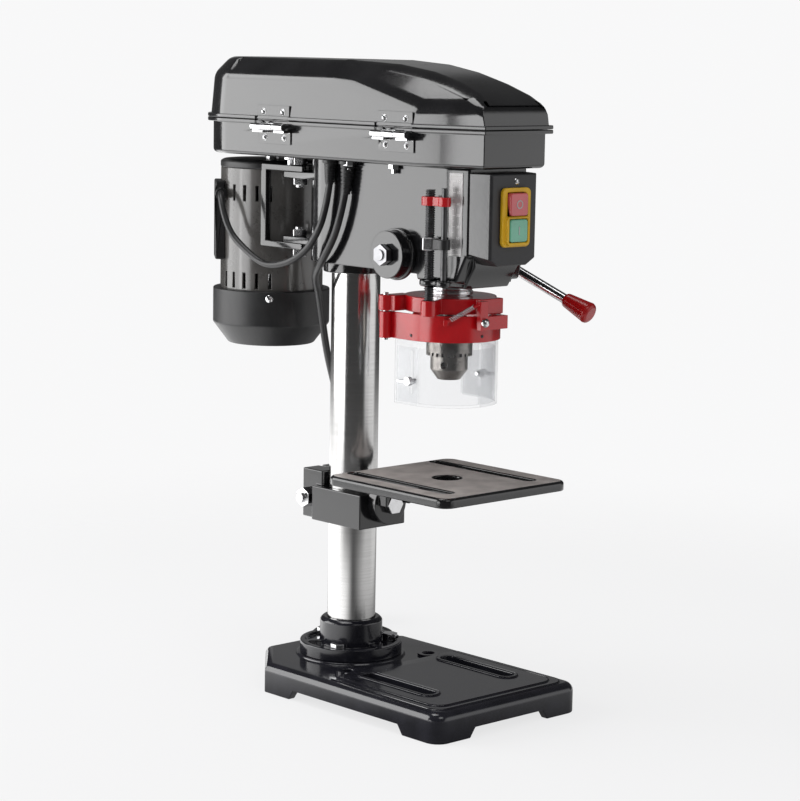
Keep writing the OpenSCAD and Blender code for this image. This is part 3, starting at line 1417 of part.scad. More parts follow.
cord_tie();
plug();
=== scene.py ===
"""Looks of a benchtop drill press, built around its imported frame."""

from __future__ import annotations

import json
import logging
import math
from dataclasses import dataclass, field
from enum import Enum
from typing import Any, Callable, Sequence

import bmesh
import bpy
from bpy.types import ID, Material, Node, NodeSocket, NodeTree, Object
from mathutils import Matrix, Vector
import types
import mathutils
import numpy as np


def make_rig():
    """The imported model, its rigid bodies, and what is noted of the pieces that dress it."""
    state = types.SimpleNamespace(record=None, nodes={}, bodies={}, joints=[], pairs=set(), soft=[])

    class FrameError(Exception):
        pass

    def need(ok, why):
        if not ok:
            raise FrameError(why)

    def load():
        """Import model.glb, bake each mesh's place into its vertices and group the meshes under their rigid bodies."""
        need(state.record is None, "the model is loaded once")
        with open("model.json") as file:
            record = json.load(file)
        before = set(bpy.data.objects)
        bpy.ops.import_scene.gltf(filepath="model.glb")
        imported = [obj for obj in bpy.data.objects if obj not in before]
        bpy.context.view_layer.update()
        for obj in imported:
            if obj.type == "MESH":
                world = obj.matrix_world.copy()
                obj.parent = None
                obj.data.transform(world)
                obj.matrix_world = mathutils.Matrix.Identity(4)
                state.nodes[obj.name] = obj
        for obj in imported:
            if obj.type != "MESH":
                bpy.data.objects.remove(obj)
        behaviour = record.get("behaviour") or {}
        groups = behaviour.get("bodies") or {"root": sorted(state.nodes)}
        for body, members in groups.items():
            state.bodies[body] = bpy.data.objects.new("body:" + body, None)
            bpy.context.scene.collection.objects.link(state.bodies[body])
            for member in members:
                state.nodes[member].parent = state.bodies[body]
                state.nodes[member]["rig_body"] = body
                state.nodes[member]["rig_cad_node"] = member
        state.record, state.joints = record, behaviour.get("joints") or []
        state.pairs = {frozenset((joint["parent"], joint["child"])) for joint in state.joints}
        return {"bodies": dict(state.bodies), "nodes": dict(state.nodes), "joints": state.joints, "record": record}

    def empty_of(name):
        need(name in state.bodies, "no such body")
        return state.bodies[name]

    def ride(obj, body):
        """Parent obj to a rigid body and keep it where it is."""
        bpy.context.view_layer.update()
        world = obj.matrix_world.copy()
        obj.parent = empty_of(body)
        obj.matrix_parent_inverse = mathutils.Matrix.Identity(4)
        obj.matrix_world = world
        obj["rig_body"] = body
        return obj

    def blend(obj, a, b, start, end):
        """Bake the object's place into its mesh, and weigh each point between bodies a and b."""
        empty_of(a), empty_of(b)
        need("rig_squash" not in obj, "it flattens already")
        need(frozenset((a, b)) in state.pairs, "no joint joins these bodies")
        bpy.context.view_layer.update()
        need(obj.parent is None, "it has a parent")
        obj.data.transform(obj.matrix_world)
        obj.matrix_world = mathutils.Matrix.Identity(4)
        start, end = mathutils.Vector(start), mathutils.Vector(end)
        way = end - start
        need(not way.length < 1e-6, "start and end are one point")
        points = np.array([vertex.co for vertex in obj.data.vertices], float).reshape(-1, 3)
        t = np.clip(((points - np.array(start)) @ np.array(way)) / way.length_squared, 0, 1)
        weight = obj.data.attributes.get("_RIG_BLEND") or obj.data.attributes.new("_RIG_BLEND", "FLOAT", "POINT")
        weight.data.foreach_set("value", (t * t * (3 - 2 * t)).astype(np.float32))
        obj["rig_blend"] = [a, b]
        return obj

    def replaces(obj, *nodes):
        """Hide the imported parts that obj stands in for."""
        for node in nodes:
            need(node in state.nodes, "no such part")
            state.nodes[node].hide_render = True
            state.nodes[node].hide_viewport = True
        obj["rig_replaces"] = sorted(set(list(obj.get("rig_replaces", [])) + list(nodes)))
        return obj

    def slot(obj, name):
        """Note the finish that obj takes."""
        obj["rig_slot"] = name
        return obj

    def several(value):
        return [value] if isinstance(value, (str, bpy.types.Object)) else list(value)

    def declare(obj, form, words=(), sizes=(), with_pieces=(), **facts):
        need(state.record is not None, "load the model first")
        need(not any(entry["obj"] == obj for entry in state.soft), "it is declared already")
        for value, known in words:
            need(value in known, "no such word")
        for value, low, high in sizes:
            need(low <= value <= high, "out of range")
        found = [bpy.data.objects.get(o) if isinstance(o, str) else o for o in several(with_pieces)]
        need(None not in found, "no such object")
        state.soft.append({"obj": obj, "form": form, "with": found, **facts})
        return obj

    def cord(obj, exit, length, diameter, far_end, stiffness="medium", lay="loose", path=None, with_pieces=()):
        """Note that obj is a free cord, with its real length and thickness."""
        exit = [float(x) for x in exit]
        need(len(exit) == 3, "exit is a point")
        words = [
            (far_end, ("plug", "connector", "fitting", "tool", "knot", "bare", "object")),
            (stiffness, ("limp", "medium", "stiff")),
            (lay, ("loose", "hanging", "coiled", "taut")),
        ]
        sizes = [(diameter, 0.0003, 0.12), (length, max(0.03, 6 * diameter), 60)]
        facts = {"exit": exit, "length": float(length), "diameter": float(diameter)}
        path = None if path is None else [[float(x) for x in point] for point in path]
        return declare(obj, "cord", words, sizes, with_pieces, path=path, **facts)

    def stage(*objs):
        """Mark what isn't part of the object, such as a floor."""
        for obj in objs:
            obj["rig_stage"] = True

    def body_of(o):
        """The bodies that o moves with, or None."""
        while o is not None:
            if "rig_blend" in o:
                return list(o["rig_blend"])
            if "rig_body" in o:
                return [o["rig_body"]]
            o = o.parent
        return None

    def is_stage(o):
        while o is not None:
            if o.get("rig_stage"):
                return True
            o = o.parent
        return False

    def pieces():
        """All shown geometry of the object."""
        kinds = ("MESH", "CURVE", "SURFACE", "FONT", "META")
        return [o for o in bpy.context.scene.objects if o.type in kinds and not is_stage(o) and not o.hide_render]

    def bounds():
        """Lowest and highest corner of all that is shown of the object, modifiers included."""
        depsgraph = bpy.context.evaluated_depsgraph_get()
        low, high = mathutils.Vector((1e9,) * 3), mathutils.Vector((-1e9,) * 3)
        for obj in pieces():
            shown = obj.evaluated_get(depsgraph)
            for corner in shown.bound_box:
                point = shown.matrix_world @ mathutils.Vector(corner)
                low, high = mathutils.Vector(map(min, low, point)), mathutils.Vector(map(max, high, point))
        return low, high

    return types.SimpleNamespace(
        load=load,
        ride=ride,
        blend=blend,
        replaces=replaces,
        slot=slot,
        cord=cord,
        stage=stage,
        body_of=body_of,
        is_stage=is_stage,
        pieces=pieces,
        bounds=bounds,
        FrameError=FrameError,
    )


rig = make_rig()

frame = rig.load()
cad_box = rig.bounds()
log = logging.getLogger("drill_press")

MM = 0.001
CRISP = math.radians(35.0)
SIZE_FILE = "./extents.json"
Pair = tuple[float, float]
Point = tuple[float, float, float]
Test = Callable[[Vector], bool]


class Grain(Enum):
    """How a surface is broken up: noises by scale, detail and share, then the mottle's noise."""

    PEEL = (((260.0, 2.0, 0.7), (900.0, 1.0, 0.3)), (24.0, 3.0))
    CAST = (((420.0, 4.0, 0.6), (1300.0, 2.0, 0.4)), (60.0, 4.0))
    MOULDED = (((1500.0, 2.0, 1.0),), (45.0, 3.0))
    RINGS = (((34.0, 4.0, 1.0),), (11.0, 3.0))
    TURNED = (((700.0, 2.0, 1.0),), (90.0, 3.0))


class Value:
    """A number on a socket, so that shader maths reads as an expression."""

    def __init__(self, graph: Graph, socket: NodeSocket) -> None:
        """Keeps the socket and the graph that it belongs to."""
        self.graph = graph
        self.socket = socket

    def __add__(self, other: Value | float) -> Value:
        """Adds a number or a value."""
        return self.graph.math("ADD", self, other)

    __radd__ = __add__

    def __sub__(self, other: Value | float) -> Value:
        """Takes a number or a value away."""
        return self.graph.math("SUBTRACT", self, other)

    def __rsub__(self, other: float) -> Value:
        """Takes this value away from a number."""
        return self.graph.math("SUBTRACT", other, self)

    def __mul__(self, other: Value | float) -> Value:
        """Multiplies by a number or a value."""
        return self.graph.math("MULTIPLY", self, other)

    __rmul__ = __mul__

    def span(self, low: float, high: float) -> Value:
        """Runs smoothly from 0 at low to 1 at high.

        Args:
            low: The value that gives 0.
            high: The value that gives 1.

        Returns:
            The smooth step.
        """
        sockets = {"Value": self, "From Min": low, "From Max": high}
        made = self.graph.node("ShaderNodeMapRange", sockets, interpolation_type="SMOOTHSTEP")
        return Value(self.graph, made.outputs[0])


class Graph:
    """A node tree that is written from Python expressions."""

    def __init__(self, tree: NodeTree) -> None:
        """Takes over an empty or a fresh node tree."""
        self.tree = tree
        tree.nodes.clear()

    def put(self, socket: NodeSocket, value: Any) -> None:
        """Links a value to a socket, or sets a plain number on it."""
        source = value.socket if isinstance(value, Value) else value
        if isinstance(source, NodeSocket):
            self.tree.links.new(source, socket)
        else:
            socket.default_value = value

    def node(self, kind: str, sockets: dict[Any, Any] | None = None, **settings: Any) -> Node:
        """Adds one node.

        Args:
            kind: The node's type name.
            sockets: Values or links by socket name or number.
            settings: Its own properties, set first.

        Returns:
            The node.
        """
        made = self.tree.nodes.new(kind)
        for key, value in settings.items():
            setattr(made, key, value)
        for key, value in (sockets or {}).items():
            self.put(made.inputs[key], value)
        return made

    def math(self, operation: str, a: Any, b: Any) -> Value:
        """Adds one Math node and wraps its result."""
        made = self.node("ShaderNodeMath", {0: a, 1: b}, operation=operation)
        return Value(self, made.outputs[0])

    def noise(self, scale: float, detail: float, stretch: Point) -> Value:
        """Adds a noise on object coordinates.

        Args:
            scale: Features to the metre.
            detail: Octaves of finer noise.
            stretch: How much closer the features lie along each axis.

        Returns:
            The noise, from 0 to 1.
        """
        at = self.node("ShaderNodeTexCoord").outputs["Object"]
        mapped = self.node("ShaderNodeMapping", {"Vector": at, "Scale": stretch})
        sockets = {"Vector": mapped.outputs[0], "Scale": scale, "Detail": detail}
        return Value(self, self.node("ShaderNodeTexNoise", sockets).outputs[0])

    def blend(self, share: Any, a: Sequence[float], b: Sequence[float]) -> Any:
        """Mixes two colours by a share and gives the colour socket."""
        colors = {0: share, 6: (*a, 1.0), 7: (*b, 1.0)}
        return self.node("ShaderNodeMix", colors, data_type="RGBA").outputs[2]

    def bump(self, height: Value, strength: float, depth: float) -> Any:
        """Adds a Bump node for a height and gives its normal socket."""
        sockets = {"Strength": strength, "Distance": depth, "Height": height}
        return self.node("ShaderNodeBump", sockets).outputs[0]

    def mix(self, share: Value, a: Node, b: Node) -> Node:
        """Mixes two shaders by a share."""
        return self.node("ShaderNodeMixShader", {0: share, 1: a.outputs[0], 2: b.outputs[0]})

    def along(self, at: Any, direction: Sequence[float], low: float, high: float) -> Value:
        """Gives how far a place lies along a direction, from 0 at low to 1 at high."""
        made = self.node("ShaderNodeVectorMath", {0: at, 1: direction}, operation="DOT_PRODUCT")
        return Value(self, made.outputs["Value"]).span(low, high)

    def ray(self, kind: str) -> Value:
        """Gives 1 for a ray of that kind, or else 0."""
        return Value(self, self.node("ShaderNodeLightPath").outputs[f"Is {kind} Ray"])

    def seen(self) -> Value:
        """Gives 1 for a ray of the camera, also behind a clear wall, or else 0."""
        return self.ray("Camera") + self.ray("Transmission")


@dataclass(frozen=True)
class Finish:
    """A surface finish that makes its material once."""

    name: str
    color: Point
    roughness: float
    grain: Grain = Grain.MOULDED
    metallic: float = 0.0
    coat: float = 0.0
    depth: float = 0.00012
    mottle: float = 0.12
    axis: Point = (1.0, 1.0, 1.0)

    def material(self) -> Material:
        """Gives the material of this finish, made on the first call."""
        found = bpy.data.materials.get(self.name)
        if found is not None:
            return found
        made = bpy.data.materials.new(self.name)
        made.use_nodes = True
        made.diffuse_color = (*self.color, 1.0)
        graph = Graph(made.node_tree)
        graph.node("ShaderNodeOutputMaterial", {"Surface": self.surface(graph)})
        return made

    def texture(self, graph: Graph) -> tuple[Value, Value]:
        """Makes the fine height and the broad mottle of the grain.

        Args:
            graph: The material's graph.

        Returns:
            The height for the bump and the mottle for colour and gloss.
        """
        layers, (scale, detail) = self.grain.value
        fine = sum(graph.noise(s, d, self.axis) * share for s, d, share in layers)
        return fine, graph.noise(scale, detail, self.axis)

    def surface(self, graph: Graph) -> Any:
        """Makes the shader of this finish and gives its output."""
        fine, mottle = self.texture(graph)
        dark = tuple(c * (1.0 - 2.0 * self.mottle) for c in self.color)
        light = tuple(min(1.0, c * (1.0 + 2.0 * self.mottle)) for c in self.color)
        spread = (mottle - 0.5) * (self.mottle * 1.2) + (fine - 0.5) * (self.mottle * 0.5)
        shader = graph.node(
            "ShaderNodeBsdfPrincipled",
            {
                "Base Color": graph.blend(mottle.span(0.25, 0.75), dark, light),
                "Roughness": spread + self.roughness,
                "Metallic": self.metallic,
                "Coat Weight": self.coat,
                "Coat Roughness": 0.06,
                "Normal": graph.bump(fine, 0.6, self.depth),
            },
        )
        return shader.outputs[0]


@dataclass(frozen=True)
class ClearFinish(Finish):
    """Clear moulded plastic: seen through, with gloss at a slant."""

    def surface(self, graph: Graph) -> Any:
        """Mixes a clear and a glossy shader by the slant of the wall."""
        smear = graph.noise(18.0, 4.0, self.axis)
        gloss = graph.node(
            "ShaderNodeBsdfPrincipled",
            {
                "Base Color": (*self.color, 1.0),
                "Roughness": smear * 0.08 + self.roughness,
            },
        )
        clear = graph.node("ShaderNodeBsdfTransparent", {"Color": (0.985, 0.986, 0.988, 1.0)})
        slant = Value(graph, graph.node("ShaderNodeFresnel", {"IOR": 1.45}).outputs[0])
        return graph.mix(slant * 0.26 + smear * 0.01, clear, gloss).outputs[0]


ENAMEL = Finish("gloss_black_enamel", (0.010, 0.010, 0.011), 0.16, Grain.PEEL, coat=0.5)
COVER = Finish(
    "cover_black_enamel", (0.011, 0.011, 0.012), 0.17, Grain.PEEL, coat=0.6, depth=0.00016
)
CASTING = Finish(
    "cast_black_enamel", (0.013, 0.013, 0.018), 0.17, Grain.CAST, coat=0.4, depth=4e-5
)
# The table's top face keeps its own brown-grey tone, but it is made far lighter than the black rim as painted light
# from above.
TABLE_TOP_PAINTED_LIGHT = Finish("table_top_enamel", (0.360, 0.328, 0.312), 0.48, Grain.CAST, mottle=0.10)
SATIN_BLACK = Finish("satin_black_plastic", (0.018, 0.018, 0.019), 0.42, depth=4e-5)
BOX_BLACK = Finish("switch_box_plastic", (0.020, 0.020, 0.022), 0.48, depth=6e-5)
MOTOR_GREY = Finish("motor_grey_enamel", (0.085, 0.081, 0.077), 0.28, Grain.PEEL, coat=0.55)
ROD_BLACK = Finish(
    "black_oxide_steel", (0.085, 0.085, 0.088), 0.30, Grain.TURNED, metallic=0.6, depth=1e-5
)
COLUMN = Finish(
    "ground_column_steel", (0.55, 0.545, 0.54), 0.17, Grain.RINGS, 1.0,
    mottle=0.025, depth=2e-6, axis=(1.0, 1.0, 60.0),
)
STEEL = Finish(
    "turned_bright_steel", (0.62, 0.62, 0.63), 0.22, Grain.TURNED, 1.0, mottle=0.08, depth=3e-5
)
CHROME = Finish(
    "bright_zinc", (0.70, 0.70, 0.71), 0.17, Grain.TURNED, 1.0, mottle=0.05, depth=2e-6
)
ZINC = Finish("dull_zinc", (0.26, 0.26, 0.27), 0.30, Grain.TURNED, 1.0, mottle=0.08, depth=6e-6)
CHUCK = Finish(
    "satin_chuck_steel", (0.24, 0.225, 0.21), 0.30, Grain.TURNED, 1.0, mottle=0.10, depth=3e-5
)
ALLOY = Finish("turned_alloy", (0.70, 0.71, 0.72), 0.30, Grain.TURNED, 1.0, depth=3e-5)
RED = Finish("red_enamel", (0.47, 0.004, 0.008), 0.24, Grain.PEEL, coat=0.25, mottle=0.06)
RED_KNOB = Finish("red_knob_plastic", (0.34, 0.003, 0.004), 0.26, mottle=0.06, depth=6e-6)
YELLOW = Finish("plate_yellow_plastic", (0.62, 0.36, 0.008), 0.40, mottle=0.05, depth=6e-6)
STOP_RED = Finish("stop_button_plastic", (0.50, 0.075, 0.085), 0.16, coat=0.5, mottle=0.05)
START_GREEN = Finish("start_button_plastic", (0.13, 0.40, 0.27), 0.16, coat=0.5, mottle=0.05)
PLATE = Finish("scale_plate_print", (0.40, 0.39, 0.39), 0.30, metallic=0.3, depth=2e-5)
MARK = Finish("button_print", (0.42, 0.41, 0.40), 0.5, mottle=0.03, depth=2e-5)
WHITE = Finish("white_print", (0.78, 0.77, 0.76), 0.5, mottle=0.03, depth=2e-5)
RUBBER = Finish("v_belt_rubber", (0.022, 0.022, 0.022), 0.62, depth=6e-5)
SHEATH = Finish("cord_sheath", (0.024, 0.024, 0.025), 0.36, depth=3e-5)
CLEAR = ClearFinish("clear_shield_plastic", (0.86, 0.88, 0.90), 0.04)


SLOTS = {s["node"]: s["material_slot"] for s in frame["record"]["subparts"]}


def link(name: str, data: ID) -> Object:
    """Puts a new object with its data in the scene."""
    made = bpy.data.objects.new(name, data)
    bpy.context.scene.collection.objects.link(made)
    return made


class Shaper:
    """A bmesh under way, with the operators that the pieces share. Sizes are in millimetres."""

    def __init__(self) -> None:
        """Starts from nothing."""
        self.bm = bmesh.new()

    @classmethod
    def of_node(cls, node: str) -> Shaper:
        """Starts from a merged copy of a CAD node, with its flat faces joined.

        Args:
            node: The CAD node's name.

        Returns:
            The shaper, in millimetres.
        """
        made = cls()
        made.bm.from_mesh(frame["nodes"][node].data)
        bmesh.ops.scale(made.bm, vec=(1 / MM,) * 3, verts=made.bm.verts)
        bmesh.ops.remove_doubles(made.bm, verts=made.bm.verts, dist=0.01)
        bmesh.ops.dissolve_limit(
            made.bm, angle_limit=math.radians(0.4), verts=made.bm.verts, edges=made.bm.edges
        )
        return made

    def round(
        self, width: float, segments: int = 2, where: Test | None = None,
        sharp: float = 30.0, ridges: bool = False,
    ) -> Shaper:
        """Rounds the sharp edges.

        Args:
            width: The width of the rounding.
            segments: Its faces across.
            where: Picks edges by their middle.
            sharp: The least angle of an edge that is rounded, in degrees.
            ridges: Whether edges in a hollow are left out.

        Returns:
            The same shaper.
        """
        self.bm.normal_update()
        least = math.radians(sharp)
        edges = [
            e
            for e in self.bm.edges
            if len(e.link_faces) == 2
            and e.calc_face_angle(0.0) > least
            and (e.is_convex or not ridges)
            and (where is None or where((e.verts[0].co + e.verts[1].co) / 2))
        ]
        if edges:
            bmesh.ops.bevel(
                self.bm, geom=edges, offset=width, offset_type="OFFSET", segments=segments,
                profile=0.5, affect="EDGES", clamp_overlap=False, material=-1,
            )
        return self

    def lathe(
        self, profile: Sequence[Pair], steps: int, turns: int = 1, rise: float = 0.0
    ) -> Shaper:
        """Spins a profile of radius and height round the Z axis.

        Args:
            profile: Points of radius and height, from one end of the outline to the other.
            steps: Faces in one turn.
            turns: The number of turns.
            rise: The way up in one turn.

        Returns:
            The same shaper.
        """
        bm = self.bm
        old = set(bm.verts)
        line = [bm.verts.new((r, 0.0, z)) for r, z in profile]
        edges = [bm.edges.new(pair) for pair in zip(line, line[1:])]
        bmesh.ops.spin(
            bm, geom=line + edges, cent=(0, 0, 0), axis=(0, 0, 1), dvec=(0, 0, rise / steps),
            angle=math.tau * turns, steps=steps * turns, use_merge=not rise, use_duplicate=False,
        )
        new = [v for v in bm.verts if v not in old]
        bmesh.ops.remove_doubles(bm, verts=new, dist=0.001)
        bmesh.ops.recalc_face_normals(bm, faces=bm.faces)
        return self

    def thread(self, radius: float, depth: float, pitch: float, low: float, high: float) -> Shaper:
        """Winds a screw thread along Z and cuts its two ends flat.

        Args:
            radius: Its outer radius.
            depth: The depth of the groove.
            pitch: The rise of one turn.
            low: The lower end.
            high: The upper end.

        Returns:
            The same shaper.
        """
        bm = self.bm
        steps = 20
        turns = math.ceil((high - low) / pitch) + 2
        root = radius - depth
        shape = [(root, 0.0), (radius, 0.34), (radius, 0.5), (root, 0.84), (root, 1.0)]
        self.lathe([(r, low - pitch + pitch * z) for r, z in shape], steps, turns, pitch)
        bmesh.ops.remove_doubles(bm, verts=bm.verts, dist=0.002)
        for height, outer in ((low, False), (high, True)):
            cut = bmesh.ops.bisect_plane(
                bm, geom=bm.verts[:] + bm.edges[:] + bm.faces[:], dist=0.0005,
                plane_co=(0, 0, height), plane_no=(0, 0, 1),
                clear_outer=outer, clear_inner=not outer,
            )
            rim = [g for g in cut["geom_cut"] if isinstance(g, bmesh.types.BMEdge)]
            bmesh.ops.contextual_create(bm, geom=rim)
        bmesh.ops.recalc_face_normals(bm, faces=bm.faces)
        return self

    def block(self, low: Point, high: Point) -> Shaper:
        """Adds a box between two corners."""
        size, middle = Vector(high) - Vector(low), (Vector(low) + Vector(high)) / 2
        matrix = Matrix.Translation(middle) @ Matrix.Diagonal((*size, 1.0))
        bmesh.ops.create_cube(self.bm, size=1.0, matrix=matrix)
        return self

    def cross_head(self, radius: float, height: float) -> Shaper:
        """Adds a domed screw head with a cross recess, its seat on Z = 0.

        Args:
            radius: The radius of the head.
            height: The height of the dome.

        Returns:
            The same shaper.
        """
        bm = self.bm
        bmesh.ops.create_grid(bm, x_segments=9, y_segments=9, size=1.0)
        for v in bm.verts:
            x, y = v.co.x, v.co.y
            u = x * math.sqrt(1 - y * y / 2)
            w = y * math.sqrt(1 - x * x / 2)
            v.co = (u * radius, w * radius, height * (1 - 0.85 * (u * u + w * w)))
        reach, half = 0.62 * radius, 0.17 * radius
        cross = []
        for f in bm.faces:
            near, far = sorted(abs(c) for c in f.calc_center_median()[:2])
            if near < half and far < reach:
                cross.append(f)
        sunk = bmesh.ops.extrude_face_region(bm, geom=cross)
        bmesh.ops.delete(bm, geom=cross, context="FACES_ONLY")
        low = [g for g in sunk["geom"] if isinstance(g, bmesh.types.BMVert)]
        bmesh.ops.translate(bm, vec=(0, 0, -0.55 * height), verts=low)
        rim = [e for e in bm.edges if e.is_boundary]
        wall = bmesh.ops.extrude_edge_only(bm, edges=rim)
        for v in (g for g in wall["geom"] if isinstance(g, bmesh.types.BMVert)):
            v.co.z = -0.2
        bmesh.ops.contextual_create(bm, geom=[e for e in bm.edges if e.is_boundary])
        bmesh.ops.recalc_face_normals(bm, faces=bm.faces)
        return self

    def place(self, matrix: Matrix) -> Shaper:
        """Moves everything so far by a matrix in millimetres."""
        bmesh.ops.transform(self.bm, matrix=matrix, verts=self.bm.verts)
        return self

    def add(self, other: Shaper) -> Shaper:
        """Takes over another shaper's faces."""
        kept = bpy.data.meshes.new("joined")
        other.bm.to_mesh(kept)
        other.bm.free()
        self.bm.from_mesh(kept)
        bpy.data.meshes.remove(kept)
        return self

    def shift(self, by: Point, where: Test) -> Shaper:
        """Moves the corners that pass a test."""
        bmesh.ops.translate(self.bm, vec=by, verts=[v for v in self.bm.verts if where(v.co)])
        return self

    def mark(self, index: int, where: Test) -> Shaper:
        """Gives the faces whose middle passes a test the finish with that number."""
        for f in self.bm.faces:
            if where(f.calc_center_median()):
                f.material_index = index
        return self

    def object(self, name: str, finishes: Sequence[Finish]) -> Object:
        """Ends the bmesh as a named object in metres.

        Args:
            name: The piece's name.
            finishes: The finishes by face number.

        Returns:
            The object, at the origin.
        """
        bmesh.ops.scale(self.bm, vec=(MM,) * 3, verts=self.bm.verts)
        mesh = bpy.data.meshes.new(name)
        self.bm.to_mesh(mesh)
        self.bm.free()
        for finish in finishes:
            mesh.materials.append(finish.material())
        mesh.shade_smooth()
        mesh.set_sharp_from_angle(angle=CRISP)
        made = link(name, mesh)
        even = made.modifiers.new("even_normals", "WEIGHTED_NORMAL")
        even.keep_sharp = True
        return made


def facing(at: Point, normal: Point) -> Matrix:
    """Gives the matrix that stands a Z-up shape at a point, along a normal."""
    turn = Vector((0, 0, 1)).rotation_difference(Vector(normal).normalized())
    return Matrix.Translation(at) @ turn.to_matrix().to_4x4()


def spline(stations: Sequence[Point], count: int) -> list[Vector]:
    """Runs a smooth line through stations.

    Args:
        stations: The points that the line passes.
        count: Steps from one station to the next.

    Returns:
        The points of the line.
    """
    p = [Vector(s) for s in stations]
    line: list[Vector] = []
    for i in range(len(p) - 1):
        a, b, c, d = p[max(i - 1, 0)], p[i], p[i + 1], p[min(i + 2, len(p) - 1)]
        square, cube = 2 * a - 5 * b + 4 * c - d, 3 * b - a - 3 * c + d
        for k in range(count):
            t = k / count
            line.append(0.5 * (2 * b + (c - a) * t + square * t * t + cube * t * t * t))
    return line + [p[-1]]


def tube(name: str, line: Sequence[Vector], radius: float, finish: Finish) -> Object:
    """Makes a round curve along a line given in millimetres.

    Args:
        name: The piece's name.
        line: The points of its middle.
        radius: Its radius in millimetres.
        finish: Its finish.

    Returns:
        The curve object, in metres.
    """
    curve = bpy.data.curves.new(name, "CURVE")
    curve.dimensions = "3D"
    curve.bevel_depth = radius * MM
    curve.bevel_resolution = 4
    curve.use_fill_caps = True
    path = curve.splines.new("POLY")
    path.points.add(len(line) - 1)
    for point, at in zip(path.points, line):
        point.co = (*(at * MM), 1.0)
    path.use_smooth = True
    curve.materials.append(finish.material())
    made = link(name, curve)
    return made


def as_mesh(piece: Object) -> Object:
    """Turns a curve or text object into a mesh object of the same name."""
    name = piece.name
    drawn = piece.evaluated_get(bpy.context.evaluated_depsgraph_get())
    mesh = bpy.data.meshes.new_from_object(drawn)
    bpy.data.objects.remove(piece)
    mesh.name = name
    made = link(name, mesh)
    return made


def length_of(line: Sequence[Vector]) -> float:
    """Gives the length of a line of points."""
    return sum((b - a).length for a, b in zip(line, line[1:]))


@dataclass
class Assembly:
    """A group of pieces that belong together on the press."""

    pieces: list[Object] = field(default_factory=list, init=False)

    def keep(
        self, piece: Object, body: str, slot: str | None = None, nodes: Sequence[str] = ()
    ) -> Object:
        """Rides a piece on its body and reports it.

        Args:
            piece: The object.
            body: The body that it moves with.
            slot: The record's slot of its finish.
            nodes: The CAD nodes that it stands for.

        Returns:
            The same object.
        """
        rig.ride(piece, body)
        if nodes:
            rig.replaces(piece, *nodes)
        if slot:
            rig.slot(piece, slot)
        self.pieces.append(piece)
        log.info("%s: %s on %s", type(self).__name__, piece.name, body)
        return piece

    def stand_for(self, node: str, shape: Shaper, *finishes: Finish) -> Object:
        """Puts a shaped piece in the place of one CAD node."""
        made = shape.object(node + "_form", finishes)
        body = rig.body_of(frame["nodes"][node])[0]
        return self.keep(made, body, SLOTS[node], (node,))

    def rounded(self, node: str, finish: Finish, width: float, segments: int = 2) -> Object:
        """Puts a copy with rounded edges in the place of one CAD node."""
        return self.stand_for(node, Shaper.of_node(node).round(width, segments), finish)

    def extra(self, name: str, shape: Shaper, finish: Finish, body: str, slot: str) -> Object:
        """Adds a small piece that is not a CAD node."""
        return self.keep(shape.object(name, (finish,)), body, slot)


